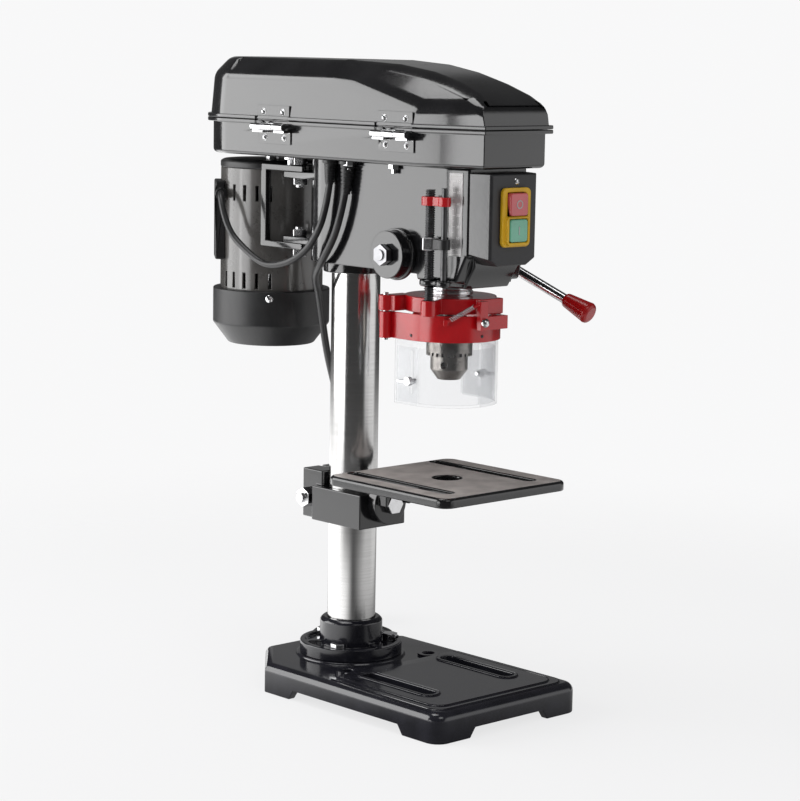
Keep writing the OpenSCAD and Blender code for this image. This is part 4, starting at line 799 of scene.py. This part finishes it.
@dataclass
class Studio:
    """The camera, the pale floor and the soft light."""

    place: Point = (-1.54235, -1.71459, 0.61363)
    azimuth: float = -43.05
    pitch: float = 8.37
    roll: float = 0.99
    lens: float = 110.23
    pale: float = 0.94
    floor_radius: float = 2.6
    cards: tuple[tuple[Point, float, float, float], ...] = (
        ((0.60, -0.80, -0.05), 0.80, 0.93, 1.05),
        ((-0.966, 0.232, -0.12), 0.957, 0.985, 5.2),
        ((0.66, 0.74, 0.146), 0.961, 0.990, 0.15),
    )
    card_gap: float = 0.06
    daylight: float = 0.45

    def camera(self) -> None:
        """Stands the camera where the photograph was taken from."""
        a, e, r = (math.radians(x) for x in (self.azimuth, self.pitch, self.roll))
        turn = Matrix.Rotation(a, 4, "Z") @ Matrix.Rotation(math.pi / 2 - e, 4, "X")
        data = bpy.data.cameras.new("camera")
        data.lens = self.lens
        data.sensor_width = 36.0
        made = link("camera", data)
        made.matrix_world = Matrix.Translation(self.place) @ turn @ Matrix.Rotation(r, 4, "Z")
        bpy.context.scene.camera = made

    def floor(self) -> None:
        """Lays the pale floor, which fades into the backdrop and glows with painted pools of light in gloss."""
        shape = bmesh.new()
        bmesh.ops.create_circle(shape, cap_ends=True, segments=96, radius=self.floor_radius)
        mesh = bpy.data.meshes.new("floor")
        shape.to_mesh(mesh)
        shape.free()
        made = bpy.data.materials.new("pale_floor")
        made.use_nodes = True
        graph = Graph(made.node_tree)
        at = graph.node("ShaderNodeTexCoord").outputs["Object"]
        length = graph.node("ShaderNodeVectorMath", {0: at}, operation="LENGTH")
        away = Value(graph, length.outputs["Value"])
        seen, glossy = graph.seen(), graph.ray("Glossy")
        far = away.span(0.9, self.floor_radius - 0.1)
        fade = far + away.span(0.55, 1.25) * seen * (1.0 - far)
        # Painted light seen only in gloss: the floor glows brightest towards the left card, less on the right and at
        # the rear, and darker towards the camera.
        left = graph.along(at, (-0.81, 0.59, 0.0), 0.0, 0.26)
        right = graph.along(at, (0.60, -0.80, 0.0), 0.12, 0.45)
        ahead = graph.along(at, (-0.68, -0.73, 0.0), 0.25, 0.8)
        rear = graph.along(at, (0.67, 0.74, 0.0), 0.0, 0.3)
        painted_pool_level = (left * 2.0 + right * 0.75) * (1.0 - ahead) + rear * 0.2 + 0.07
        matt = graph.node("ShaderNodeBsdfDiffuse", {"Color": (0.84, 0.84, 0.845, 1.0)})
        shown = graph.node("ShaderNodeEmission", {"Strength": painted_pool_level})
        backdrop = (self.pale, self.pale, self.pale + 0.004, 1.0)
        plain = graph.node("ShaderNodeEmission", {"Color": backdrop})
        lit = graph.mix(seen * 0.80, graph.mix(glossy * 0.9, matt, shown), plain)
        both = graph.mix(fade, lit, graph.node("ShaderNodeBsdfTransparent"))
        graph.node("ShaderNodeOutputMaterial", {"Surface": both.outputs[0]})
        mesh.materials.append(made)
        floor = link("floor", mesh)
        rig.stage(floor)

    def world(self) -> None:
        """Lights the studio evenly, pale behind, with bright cards that only gloss shows."""
        made = bpy.data.worlds.new("studio")
        bpy.context.scene.world = made
        made.use_nodes = True
        graph = Graph(made.node_tree)
        at = graph.node("ShaderNodeTexCoord").outputs["Generated"]
        gloss: Any = self.card_gap
        for direction, edge, core, level in self.cards:
            aim = Vector(direction).normalized()
            gloss = graph.along(at, aim, edge, core) * level + gloss
        seen, glossy = graph.seen(), graph.ray("Glossy")
        strength = seen * self.pale + glossy * (1.0 - seen) * gloss
        strength = strength + (1.0 - seen) * (1.0 - glossy) * self.daylight
        sockets = {"Color": (1.0, 1.0, 1.004, 1.0), "Strength": strength}
        sky = graph.node("ShaderNodeBackground", sockets)
        graph.node("ShaderNodeOutputWorld", {"Surface": sky.outputs[0]})

    def lamp(
        self, name: str, place: Point, target: Point, size: Pair, level: float
    ) -> None:
        """Hangs one soft box.

        Args:
            name: The lamp's name.
            place: Its middle.
            target: The point that it faces.
            size: Its width and height.
            level: Its brightness, where 1 is a white sheet in full light.
        """
        data = bpy.data.lights.new(name, "AREA")
        data.shape = "RECTANGLE"
        data.size, data.size_y = size
        data.energy = 4.0 * size[0] * size[1] * level
        made = link(name, data)
        made.location = place
        made.rotation_mode = "QUATERNION"
        made.rotation_quaternion = (Vector(target) - Vector(place)).to_track_quat("-Z", "Y")
        made.visible_camera = False

    def build(self) -> None:
        """Sets up the whole studio."""
        bpy.context.scene.view_settings.view_transform = "Standard"
        self.camera()
        self.floor()
        self.world()
        self.lamp("left_card", (-1.35, 1.42, 0.76), (0.0, 0.0, 0.45), (1.56, 1.54), 3.3)
        self.lamp("overhead_box", (-0.35, 0.25, 2.3), (0.0, 0.0, 0.3), (1.1, 1.1), 3.0)
        self.lamp("front_box", (-0.6, -2.3, 2.2), (0.0, -0.1, 0.3), (1.4, 1.0), 1.8)


@dataclass
class Cords(Assembly):
    """The mains lead with its coil and plug, and the motor cable."""

    lead_radius: float = 3.5
    cable_radius: float = 3.2
    lead: tuple[Point, ...] = (
        (-48, -40, 502.7), (-48, -40, 495), (-50, -37, 468), (-50.5, -26, 436), (-50, -9, 411),
        (-43, 8, 397), (-33, 20, 387), (-22, 29, 376), (-12, 35, 352), (-4, 36, 318), (6, 38, 290),
        (24, 47, 260), (46, 62, 226), (58, 71, 190), (61, 72, 150), (57, 75, 100), (52, 80, 66),
        (50.5, 80.5, 46), (51.5, 79, 30), (55, 74, 18.5),
    )
    cable: tuple[Point, ...] = (
        (-56, 134.7, 464), (-59, 130.7, 464), (-63, 125, 460), (-66.5, 117, 448), (-67, 108, 433),
        (-66, 96, 421), (-64, 70, 406), (-62, 50, 402), (-58, 26, 408), (-54, 8, 421),
        (-51.5, -5, 440), (-49.5, -11, 459), (-48.5, -15, 480), (-48, -16, 495), (-48, -16, 502.7),
    )
    tail: tuple[Point, ...] = (
        (126, 79.5, 4.5), (132.5, 100, 4.5), (134, 118, 6), (135, 134, 11), (137, 147, 16),
        (142, 157.5, 18.5), (148, 164.5, 18.5),
    )
    coil_middle: Pair = (90.0, 100.0)
    coil_out: float = 42.6
    coil_step: float = 7.7
    coil_low: float = 4.5
    coil_start: float = 236.0
    coil_steps: int = 48
    coil_dip: float = 2.2
    coil_lower: int = 83
    lead_hole: Point = (-48, -40, 503)
    cable_hole: Point = (-48, -16, 503)

    def coil(self) -> list[Vector]:
        """Winds the coil: in on the upper layer, out again on the lower one.

        Returns:
            The points of its middle line in millimetres.
        """
        steps, half = self.coil_steps, self.coil_steps // 2
        inner = self.coil_out - 2 * self.coil_step
        line: list[Vector] = []

        def put(step: int, radius: float, rise: float) -> None:
            """Adds one point of the coil."""
            a = math.radians(self.coil_start + 360.0 * step / steps)
            height = self.coil_low + self.coil_step * rise
            x, y = self.coil_middle
            line.append(Vector((x + radius * math.cos(a), y + radius * math.sin(a), height)))

        for i in range(2 * steps + 1):
            put(i, self.coil_out - self.coil_step * i / steps, 1.0)
        for i in range(1, half):
            a = math.pi * i / half
            put(2 * steps + i, inner - self.coil_dip * math.sin(a), (1 + math.cos(a)) / 2)
        for i in range(self.coil_lower):
            put(2 * steps + half + i, inner + self.coil_step * i / steps, 0.0)
        return line + spline([line[-1], *self.tail], 6)[1:]

    def build(self) -> None:
        """Makes both cords, their strain reliefs, the tie and the plug."""
        coil = self.coil()
        along = (coil[1] - coil[0]).normalized()
        before = coil[0] - 2 * self.lead_radius * along
        line = spline([*self.lead, before, coil[0]], 6) + coil[1:]
        lead = tube("mains_lead", line, self.lead_radius, SHEATH)
        self.keep(lead, "frame", "cord_rubber", ("power_cord", "cord_coil"))
        plug = self.rounded("plug", SHEATH, 1.6, 3)
        tie = self.rounded("cord_tie", SATIN_BLACK, 0.3)
        relief = Shaper().lathe(self.sleeve(30.0, 7.0, 4.2), 32)
        relief.place(facing(self.lead_hole, (-0.03, 0.05, -1)))
        sleeve = self.extra("lead_sleeve", relief, SATIN_BLACK, "frame", "cord_rubber")
        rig.cord(
            lead, exit=line[0] * MM, length=round(length_of(line) * MM, 3), diameter=0.007,
            far_end="plug", stiffness="medium", lay="coiled", with_pieces=[plug, tie, sleeve],
        )
        self.motor_cable()

    def sleeve(self, reach: float, wide: float, slim: float) -> list[Pair]:
        """Draws a tapered strain relief with grooves.

        Args:
            reach: Its length.
            wide: The radius where it is held.
            slim: The radius at its free end.

        Returns:
            The profile of radius and height.
        """
        profile = [(0.0, 0.0), (wide + 1.5, 0.0), (wide + 1.5, 2.5), (wide, 3.0)]
        count = 7
        for i in range(count):
            z = 4.0 + (reach - 5.0) * i / count
            r = wide + (slim - wide) * (z / reach)
            profile += [(r, z), (r, z + 1.9), (r - 0.8, z + 2.2), (r - 0.8, z + 2.9)]
        return profile + [(slim, reach - 0.6), (slim - 0.4, reach), (0.0, reach)]

    def motor_cable(self) -> None:
        """Makes the cable from the terminal box to the head, which bends with the motor."""
        line = spline(self.cable, 6)
        cable = as_mesh(tube("motor_lead", line, self.cable_radius, SHEATH))
        cable.data.shade_smooth()
        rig.blend(cable, "motor", "frame", start=(-0.064, 0.075, 0.41), end=(-0.05, -0.005, 0.44))
        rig.replaces(cable, "motor_cable")
        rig.slot(cable, "cord_rubber")
        log.info("Cords: %s between motor and frame", cable.name)
        self.pieces.append(cable)
        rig.cord(
            cable, exit=line[0] * MM, length=round(length_of(line) * MM, 3), diameter=0.0064,
            far_end="object", stiffness="medium", lay="hanging", path=[p * MM for p in line],
        )
        grip = Shaper().lathe(self.sleeve(22.0, 6.0, 4.0), 32)
        grip.place(facing(self.cable_hole, (-0.02, 0.04, -1)))
        self.extra("cable_sleeve", grip, SATIN_BLACK, "frame", "cord_rubber")


@dataclass
class Foot(Assembly):
    """The base, the column flange with its bolts, and the column."""

    base_height: float = 28.0
    half: float = 91.0
    front: float = -213.0
    rear: float = 72.5
    rear_cut: Pair = (54.0, 46.0)
    cut_start: float = 20.0
    front_corner: Pair = (77.0, -202.0)
    boss: Pair = (52.0, -54.0)
    pad_rear: float = -64.0
    column_radius: float = 23.0
    column_wall: float = 4.0
    column_low: float = 30.0
    column_high: float = 498.0

    def build(self) -> None:
        """Makes the foot of the press."""
        base = Shaper.of_node("base")
        base.round(8.0, 5, self.on_border)
        base.round(1.1, 3, lambda at: not self.by_boss(at))
        self.stand_for("base", base, CASTING)
        self.rounded("column_flange", CASTING, 1.0)
        self.rounded("flange_bolts", CHROME, 0.5)
        r, low, high = self.column_radius, self.column_low, self.column_high
        bore = r - self.column_wall
        outside = [(bore, low), (r - 0.6, low), (r, low + 0.6), (r, high - 1), (r - 1, high)]
        column = Shaper().lathe([*outside, (bore, high), (bore, low)], 128)
        self.stand_for("column", column, COLUMN)

    def by_boss(self, at: Vector) -> bool:
        """Tells whether an edge lies on the pad's rear edge or on a boss that crosses it."""
        x, y = self.boss
        on_boss = 8.0 < math.hypot(abs(at.x) - x, at.y - y) < 14.5
        return at.z > 20.0 and (on_boss or abs(at.y - self.pad_rear) < 0.6)

    def on_border(self, at: Vector) -> bool:
        """Tells whether an edge runs along the top border of the base."""
        if abs(at.z - self.base_height) > 0.3:
            return False
        side = abs(at.x)
        straight = side > 0.985 * self.half or at.y < self.front or at.y > self.rear
        over_x, over_y = side - self.half, at.y - self.cut_start
        slanted = over_y > -2.0 and over_x * self.rear_cut[0] + over_y * self.rear_cut[1] > -60.0
        past_x, past_y = side - self.front_corner[0], at.y - self.front_corner[1]
        rounded = past_x > -2.0 and past_y < 2.0 and math.hypot(past_x, past_y) > 13.0
        return straight or slanted or rounded


@dataclass
class Table(Assembly):
    """The slotted table, its bracket on the column and the clamp."""

    top: float = 217.5
    half: float = 79.0
    middle: float = -128.5
    corner: float = 12.0

    def build(self) -> None:
        """Makes the table and what carries it."""
        table = Shaper.of_node("table")
        table.round(3.0, 4, self.on_rim)
        table.round(1.4, 3, lambda at: at.z > self.top - 10.0)
        table.round(0.8)
        # The top face takes the lighter finish: painted light over its own brown-grey tone.
        table.mark(1, lambda at: at.z > self.top - 0.05)
        self.stand_for("table", table, ENAMEL, TABLE_TOP_PAINTED_LIGHT)
        self.rounded("table_bracket", ENAMEL, 1.2)
        self.rounded("clamp_bolt", CHROME, 0.5)
        self.rounded("tilt_bolt", CHROME, 0.6)
        self.rounded("clamp_lever", SATIN_BLACK, 0.6)

    def on_rim(self, at: Vector) -> bool:
        """Tells whether an edge runs round the top of the table."""
        if abs(at.z - self.top) > 0.3:
            return False
        over_x = max(abs(at.x) - self.half + self.corner, 0.0)
        over_y = max(abs(at.y - self.middle) - self.half + self.corner, 0.0)
        return math.hypot(over_x, over_y) > self.corner - 1.0


@dataclass
class Head(Assembly):
    """The head casting with its depth scale, guide rod and return spring."""

    bore: Pair = (-104.0, 423.0)
    scale_low: float = 432.0
    scale_span: int = 60
    tick_left: float = 3.4
    number_left: float = 9.2
    border_x: Pair = (2.5, 14.5)
    border_z: Pair = (427.5, 497.5)
    border_line: float = 0.35
    panel_corner: Point = (-43.0, -166.0, 0.0)
    panel_turn: float = -69.444
    scale_face: float = -0.6

    def build(self) -> None:
        """Makes the head."""
        head = Shaper.of_node("head")
        head.round(2.0, 3, lambda at: self.on_front(at) and not self.by_bore(at), 40.0)
        head.round(0.9, 2, lambda at: not self.by_bore(at), 40.0)
        self.stand_for("head", head, ENAMEL)
        self.rounded("spring_cap", ENAMEL, 0.9, 3)
        self.rounded("return_spring", STEEL, 0.05)
        self.rounded("guide_rod", ROD_BLACK, 0.4)
        self.rounded("depth_scale", PLATE, 0.1)
        self.marks()

    def on_front(self, at: Vector) -> bool:
        """Tells whether an edge lies on the front part of the head's sides."""
        return at.z > 395.5 and abs(at.x) > 26.0 and at.y < -100.0

    def by_bore(self, at: Vector) -> bool:
        """Tells whether an edge lies at the mouth of the feed shaft's bore."""
        y, z = self.bore
        return abs(at.x) > 42.0 and math.hypot(at.y - y, at.z - z) < 20.0

    def on_panel(self) -> Matrix:
        """Gives the place of the scale: X along the side panel, Y into it."""
        turn = Matrix.Rotation(math.radians(self.panel_turn), 4, "Z")
        return Matrix.Translation(self.panel_corner) @ turn

    def marks(self) -> None:
        """Prints the ticks, the frame and the numbers of the depth scale."""
        out, face = self.scale_face - 0.08, self.scale_face + 0.05
        (left, right), (low, high), line = self.border_x, self.border_z, self.border_line
        ticks = Shaper()
        for i in range(self.scale_span + 1):
            x, z = self.tick_left, self.scale_low + i
            reach = 5.0 if i % 10 == 0 else 3.4 if i % 5 == 0 else 2.2
            ticks.block((x, out, z - 0.16), (x + reach, face, z + 0.16))
        for x in (left, right - line):
            ticks.block((x, out, low), (x + line, face, high))
        for z in (low, high - line):
            ticks.block((left, out, z), (right, face, z + line))
        self.extra("scale_ticks", ticks.place(self.on_panel()), WHITE, "frame", "scale_plate")
        for depth in range(0, self.scale_span + 1, 10):
            self.number(str(depth), self.scale_low + depth - 1.2)

    def number(self, words: str, z: float) -> None:
        """Prints one number of the depth scale.

        Args:
            words: Its digits.
            z: Its foot.
        """
        text = bpy.data.curves.new("scale_number_" + words, "FONT")
        text.body = words
        text.size = 3.4
        text.extrude = 0.04
        text.materials.append(WHITE.material())
        made = link("scale_number_" + words, text)
        bpy.context.view_layer.update()
        made = as_mesh(made)
        made.data.transform(
            Matrix.Scale(MM, 4)
            @ self.on_panel()
            @ Matrix.Translation((self.number_left, self.scale_face - 0.03, z))
            @ Matrix.Rotation(math.radians(90), 4, "X")
        )
        self.keep(made, "frame", "scale_plate")


@dataclass
class Switch(Assembly):
    """The switch box on the front with its two push buttons."""

    front: float = -206.0
    middle: float = 462.0
    button_face: float = -213.0
    stop_height: float = 472.5
    start_height: float = 449.5

    def build(self) -> None:
        """Makes the box, the plate, the buttons and their marks."""
        box = Shaper.of_node("switch_box")
        box.round(2.2, 3, self.on_front).round(0.5)
        box.mark(1, lambda at: abs(at.x) > 29.0 and at.y > self.front + 2.0)
        self.stand_for("switch_box", box, BOX_BLACK, ENAMEL)
        self.rounded("switch_plate", YELLOW, 0.8, 3)
        self.rounded("stop_button", STOP_RED, 1.2, 3)
        self.rounded("start_button", START_GREEN, 1.2, 3)
        ring = Shaper().lathe([(2.8, -0.1), (3.8, -0.1), (3.8, 0.25), (2.8, 0.25), (2.8, -0.1)], 32)
        ring.place(facing((0, self.button_face, self.stop_height), (0, -1, 0)))
        self.extra("stop_mark", ring, MARK, "stop_button", "red_button")
        y, z = self.button_face, self.start_height
        bar = Shaper().block((-0.5, y - 0.25, z - 3.6), (0.5, y + 0.1, z + 3.6))
        self.extra("start_mark", bar, MARK, "start_button", "green_button")
        screw = Shaper().cross_head(3.2, 1.5).place(facing((2.9, self.front, 492.6), (0, -1, 0)))
        self.extra("switch_screw", screw, CHROME, "frame", "zinc_steel")

    def on_front(self, at: Vector) -> bool:
        """Tells whether an edge runs round the front of the box."""
        outside = abs(at.x) > 20.0 or abs(at.z - self.middle) > 33.0
        return at.y < self.front + 0.5 and outside


@dataclass
class Cover(Assembly):
    """The belt cover: tray, hinged lid, hinges and bolts."""

    seam: float = 537.0
    leaf: float = -62.0
    wall: float = -57.5
    pin: float = 531.0
    floor: float = 503.0
    motor_y: float = 124.0
    nose: float = -60.0
    crown: float = 18.0
    tray_pad: float = -17.0
    tray_pad_move: Point = (0, 0, 19.0)
    tray_leaf_move: Point = (3.8, 0, 0)
    lid_pad: float = 14.5
    lid_pad_move: Point = (-0.86, 0, -10.2)
    lid_leaf_move: Point = (2.0, 0, 0)
    bolts: tuple[Pair, ...] = (
        (-26.9, 66.0), (-33.8, 14.5), (-50.0, -43.3), (-46.0, -100.0),
    )

    def build(self) -> None:
        """Makes the cover."""
        tray = Shaper.of_node("belt_tray")
        edge = self.pin + self.tray_pad
        tray.shift(
            self.tray_pad_move, lambda at: at.x < self.wall + 0.2 and abs(at.z - edge) < 0.3
        )
        tray.round(4.0, 4, self.under_rim).round(0.8)
        self.stand_for("belt_tray", tray, COVER)
        lid = Shaper.of_node("belt_lid")
        ledge, crown = self.seam + self.lid_pad, self.seam + self.crown
        lid.shift(
            self.lid_pad_move, lambda at: at.x < self.wall - 0.8 and abs(at.z - ledge) < 0.3
        )
        lid.round(9.0, 5, lambda at: at.z > crown and at.y < self.nose, 22.0, ridges=True)
        lid.round(5.0, 4, lambda at: at.z > crown and at.y > self.nose, ridges=True)
        lid.round(0.8, 2, lambda at: at.z < crown, ridges=True)
        self.stand_for("belt_lid", lid, COVER)
        flat = self.leaf - 1.0
        for node in ("hinge_tray", "hinge_lid"):
            leaf = Shaper.of_node(node).round(0.25)
            leaf.mark(1, lambda at: abs(at.x - self.leaf) < 0.52)
            leaf.shift(
                self.tray_leaf_move, lambda at: at.z < self.pin - (2.7 if at.x > flat else 6.0)
            )
            leaf.shift(
                self.lid_leaf_move, lambda at: at.z > self.pin + (2.0 if at.x > flat else 5.0)
            )
            self.stand_for(node, leaf, CHROME, COVER)
        self.fasteners()

    def under_rim(self, at: Vector) -> bool:
        """Tells whether an edge runs round the underside of the tray."""
        if at.z > self.floor + 0.3:
            return False
        if at.y > self.motor_y:
            return math.hypot(at.x, at.y - self.motor_y) > 54.0
        return abs(at.x) > 55.0 or at.y < -138.0

    def fasteners(self) -> None:
        """Adds the bolts that hold the tray from below."""
        nut = [(0, 0), (5.4, 0), (5.4, 3.6), (4.6, 4.2), (2.4, 4.2), (2.4, 8.0), (0, 8.4)]
        bolts = Shaper()
        for x, y in self.bolts:
            bolts.add(Shaper().lathe(nut, 6).place(facing((x, y, self.floor), (0, 0, -1))))
        self.extra("tray_bolts", bolts, CHROME, "frame", "zinc_steel")


@dataclass
class Drive(Assembly):
    """The pulleys and the belt under the cover."""

    def build(self) -> None:
        """Makes the belt drive."""
        self.rounded("spindle_pulley", ALLOY, 0.3)
        self.rounded("motor_pulley", ALLOY, 0.3)
        belt = Shaper.of_node("v_belt").round(0.4).object("v_belt_form", (RUBBER,))
        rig.blend(belt, "frame", "motor", start=(0, -0.06, 0.54), end=(0, 0.08, 0.54))
        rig.replaces(belt, "v_belt")
        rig.slot(belt, "belt_rubber")
        log.info("Drive: %s between frame and motor", belt.name)
        self.pieces.append(belt)


@dataclass
class Motor(Assembly):
    """The motor with its fan cover, terminal box and bracket."""

    axis_y: float = 124.0
    fan_radius: float = 57.0
    screw_turns: tuple[float, ...] = (-132.0, -12.0, 108.0)
    screw_height: float = 365.5

    def build(self) -> None:
        """Makes the motor unit."""
        self.rounded("motor_body", MOTOR_GREY, 0.5)
        self.rounded("motor_cap", SATIN_BLACK, 1.2, 3)
        self.rounded("fan_cover", SATIN_BLACK, 1.2, 3)
        self.rounded("terminal_box", SATIN_BLACK, 1.6, 3)
        self.rounded("motor_shaft", STEEL, 0.4)
        self.rounded("motor_bracket", ENAMEL, 1.0)
        self.rounded("bracket_bolts", CHROME, 0.5)
        screws = Shaper()
        for turn in self.screw_turns:
            a = math.radians(turn)
            out = (math.cos(a), math.sin(a), 0.0)
            x, y = self.fan_radius * out[0], self.axis_y + self.fan_radius * out[1]
            at = (x, y, self.screw_height)
            screws.add(Shaper().cross_head(3.6, 2.0).place(facing(at, out)))
        self.extra("fan_cover_screws", screws, CHROME, "motor", "zinc_steel")


@dataclass
class Feed(Assembly):
    """The feed shaft with its hub, spokes and knobs."""

    def build(self) -> None:
        """Makes the feed handle."""
        self.rounded("pinion_shaft", ZINC, 0.3)
        self.rounded("feed_hub", SATIN_BLACK, 1.2, 3)
        self.rounded("feed_spokes", CHROME, 0.3)
        self.rounded("feed_knobs", RED_KNOB, 0.8, 3)


@dataclass
class Quill(Assembly):
    """The quill with its rings, and the depth stop on its threaded rod."""

    rod_x: float = -53.0
    rod_y: float = -155.0
    rod_radius: float = 4.5
    rod_low: float = 375.0
    rod_high: float = 484.0

    def build(self) -> None:
        """Makes the quill and the depth stop."""
        self.rounded("quill", STEEL, 0.4)
        self.rounded("quill_rings", CHROME, 0.3)
        rod = Shaper().thread(self.rod_radius, 0.95, 2.0, self.rod_low, self.rod_high)
        rod.place(Matrix.Translation((self.rod_x, self.rod_y, 0.0)))
        self.stand_for("depth_rod", rod, ROD_BLACK)
        self.rounded("depth_nut", CHROME, 0.6)
        self.rounded("depth_tab", SATIN_BLACK, 0.6)
        self.rounded("depth_pointer", RED, 0.6)


@dataclass
class Chuck(Assembly):
    """The spindle with the keyed three-jaw chuck."""

    def build(self) -> None:
        """Makes the chuck."""
        self.rounded("spindle", STEEL, 0.5)
        self.rounded("chuck_body", CHUCK, 0.5)
        self.rounded("chuck_sleeve", CHUCK, 0.3)
        for jaw in "abc":
            self.rounded("chuck_jaw_" + jaw, STEEL, 0.4)


@dataclass
class Guard(Assembly):
    """The red collar and skirt with the clear shield."""

    spring_low: Point = (-36.0, -166.0, 368.5)
    spring_high: Point = (-18.0, -177.0, 380.0)
    spring_radius: float = 2.2
    spring_wire: float = 0.45
    spring_turns: int = 13
    knob: Point = (-10.5, -183.0, 366.0)
    rivets: tuple[tuple[Point, Point], ...] = (
        ((-46.0, -125.8, 351.6), (-1, 0, 0)), ((-4.1, -173.8, 352.5), (-0.09, -1, 0)),
    )

    def build(self) -> None:
        """Makes the guard."""
        self.rounded("guard_collar", RED, 1.0, 3)
        self.rounded("guard_skirt", RED, 0.4)
        self.rounded("guard_pin", CHROME, 0.4)
        self.rounded("guard_shield", CLEAR, 0.25)
        self.rounded("shield_slider", CLEAR, 0.25)
        self.rounded("shield_screws", CHROME, 0.3)
        self.spring()
        dome = Shaper().lathe([(0, 0), (4.2, 0), (4.2, 1.2), (3.6, 2.8), (2.2, 3.9), (0, 4.3)], 32)
        dome.place(facing(self.knob, (0, -1, 0)))
        self.extra("latch_knob", dome, CHROME, "guard", "zinc_steel")
        rivets = Shaper()
        for at, out in self.rivets:
            rivet = Shaper().lathe([(0, 0), (1.5, 0), (1.2, 0.6), (0, 0.8)], 20)
            rivets.add(rivet.place(facing(at, out)))
        self.extra("skirt_rivets", rivets, SATIN_BLACK, "guard", "black_plastic")

    def spring(self) -> None:
        """Winds the latch spring on its two pegs."""
        a, b = Vector(self.spring_low), Vector(self.spring_high)
        along = (b - a).normalized()
        up = Vector((0, 0, 1))
        side = (up - up.dot(along) * along).normalized()
        over = along.cross(side)
        steps = 20 * self.spring_turns
        line = []
        for i in range(steps + 1):
            t = math.tau * self.spring_turns * i / steps
            ring = math.cos(t) * side + math.sin(t) * over
            line.append(a + (b - a) * (i / steps) + self.spring_radius * ring)
        coil = as_mesh(tube("guard_spring_form", line, self.spring_wire, CHROME))
        coil.data.shade_smooth()
        self.keep(coil, "guard", "zinc_steel", ("guard_spring",))


def main() -> None:
    """Builds the studio and every sub-assembly in order."""
    logging.basicConfig(level=logging.INFO, format="%(message)s")
    Studio().build()
    groups = (
        Cords(), Foot(), Table(), Head(), Switch(), Cover(),
        Drive(), Motor(), Feed(), Quill(), Chuck(), Guard(),
    )
    for group in groups:
        group.build()
        log.info("%s: %d pieces", type(group).__name__, len(group.pieces))
    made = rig.bounds()
    with open(SIZE_FILE, "w") as out:
        json.dump({"cad": [list(p) for p in cad_box], "visual": [list(p) for p in made]}, out)


if __name__ == "__main__":
    main()
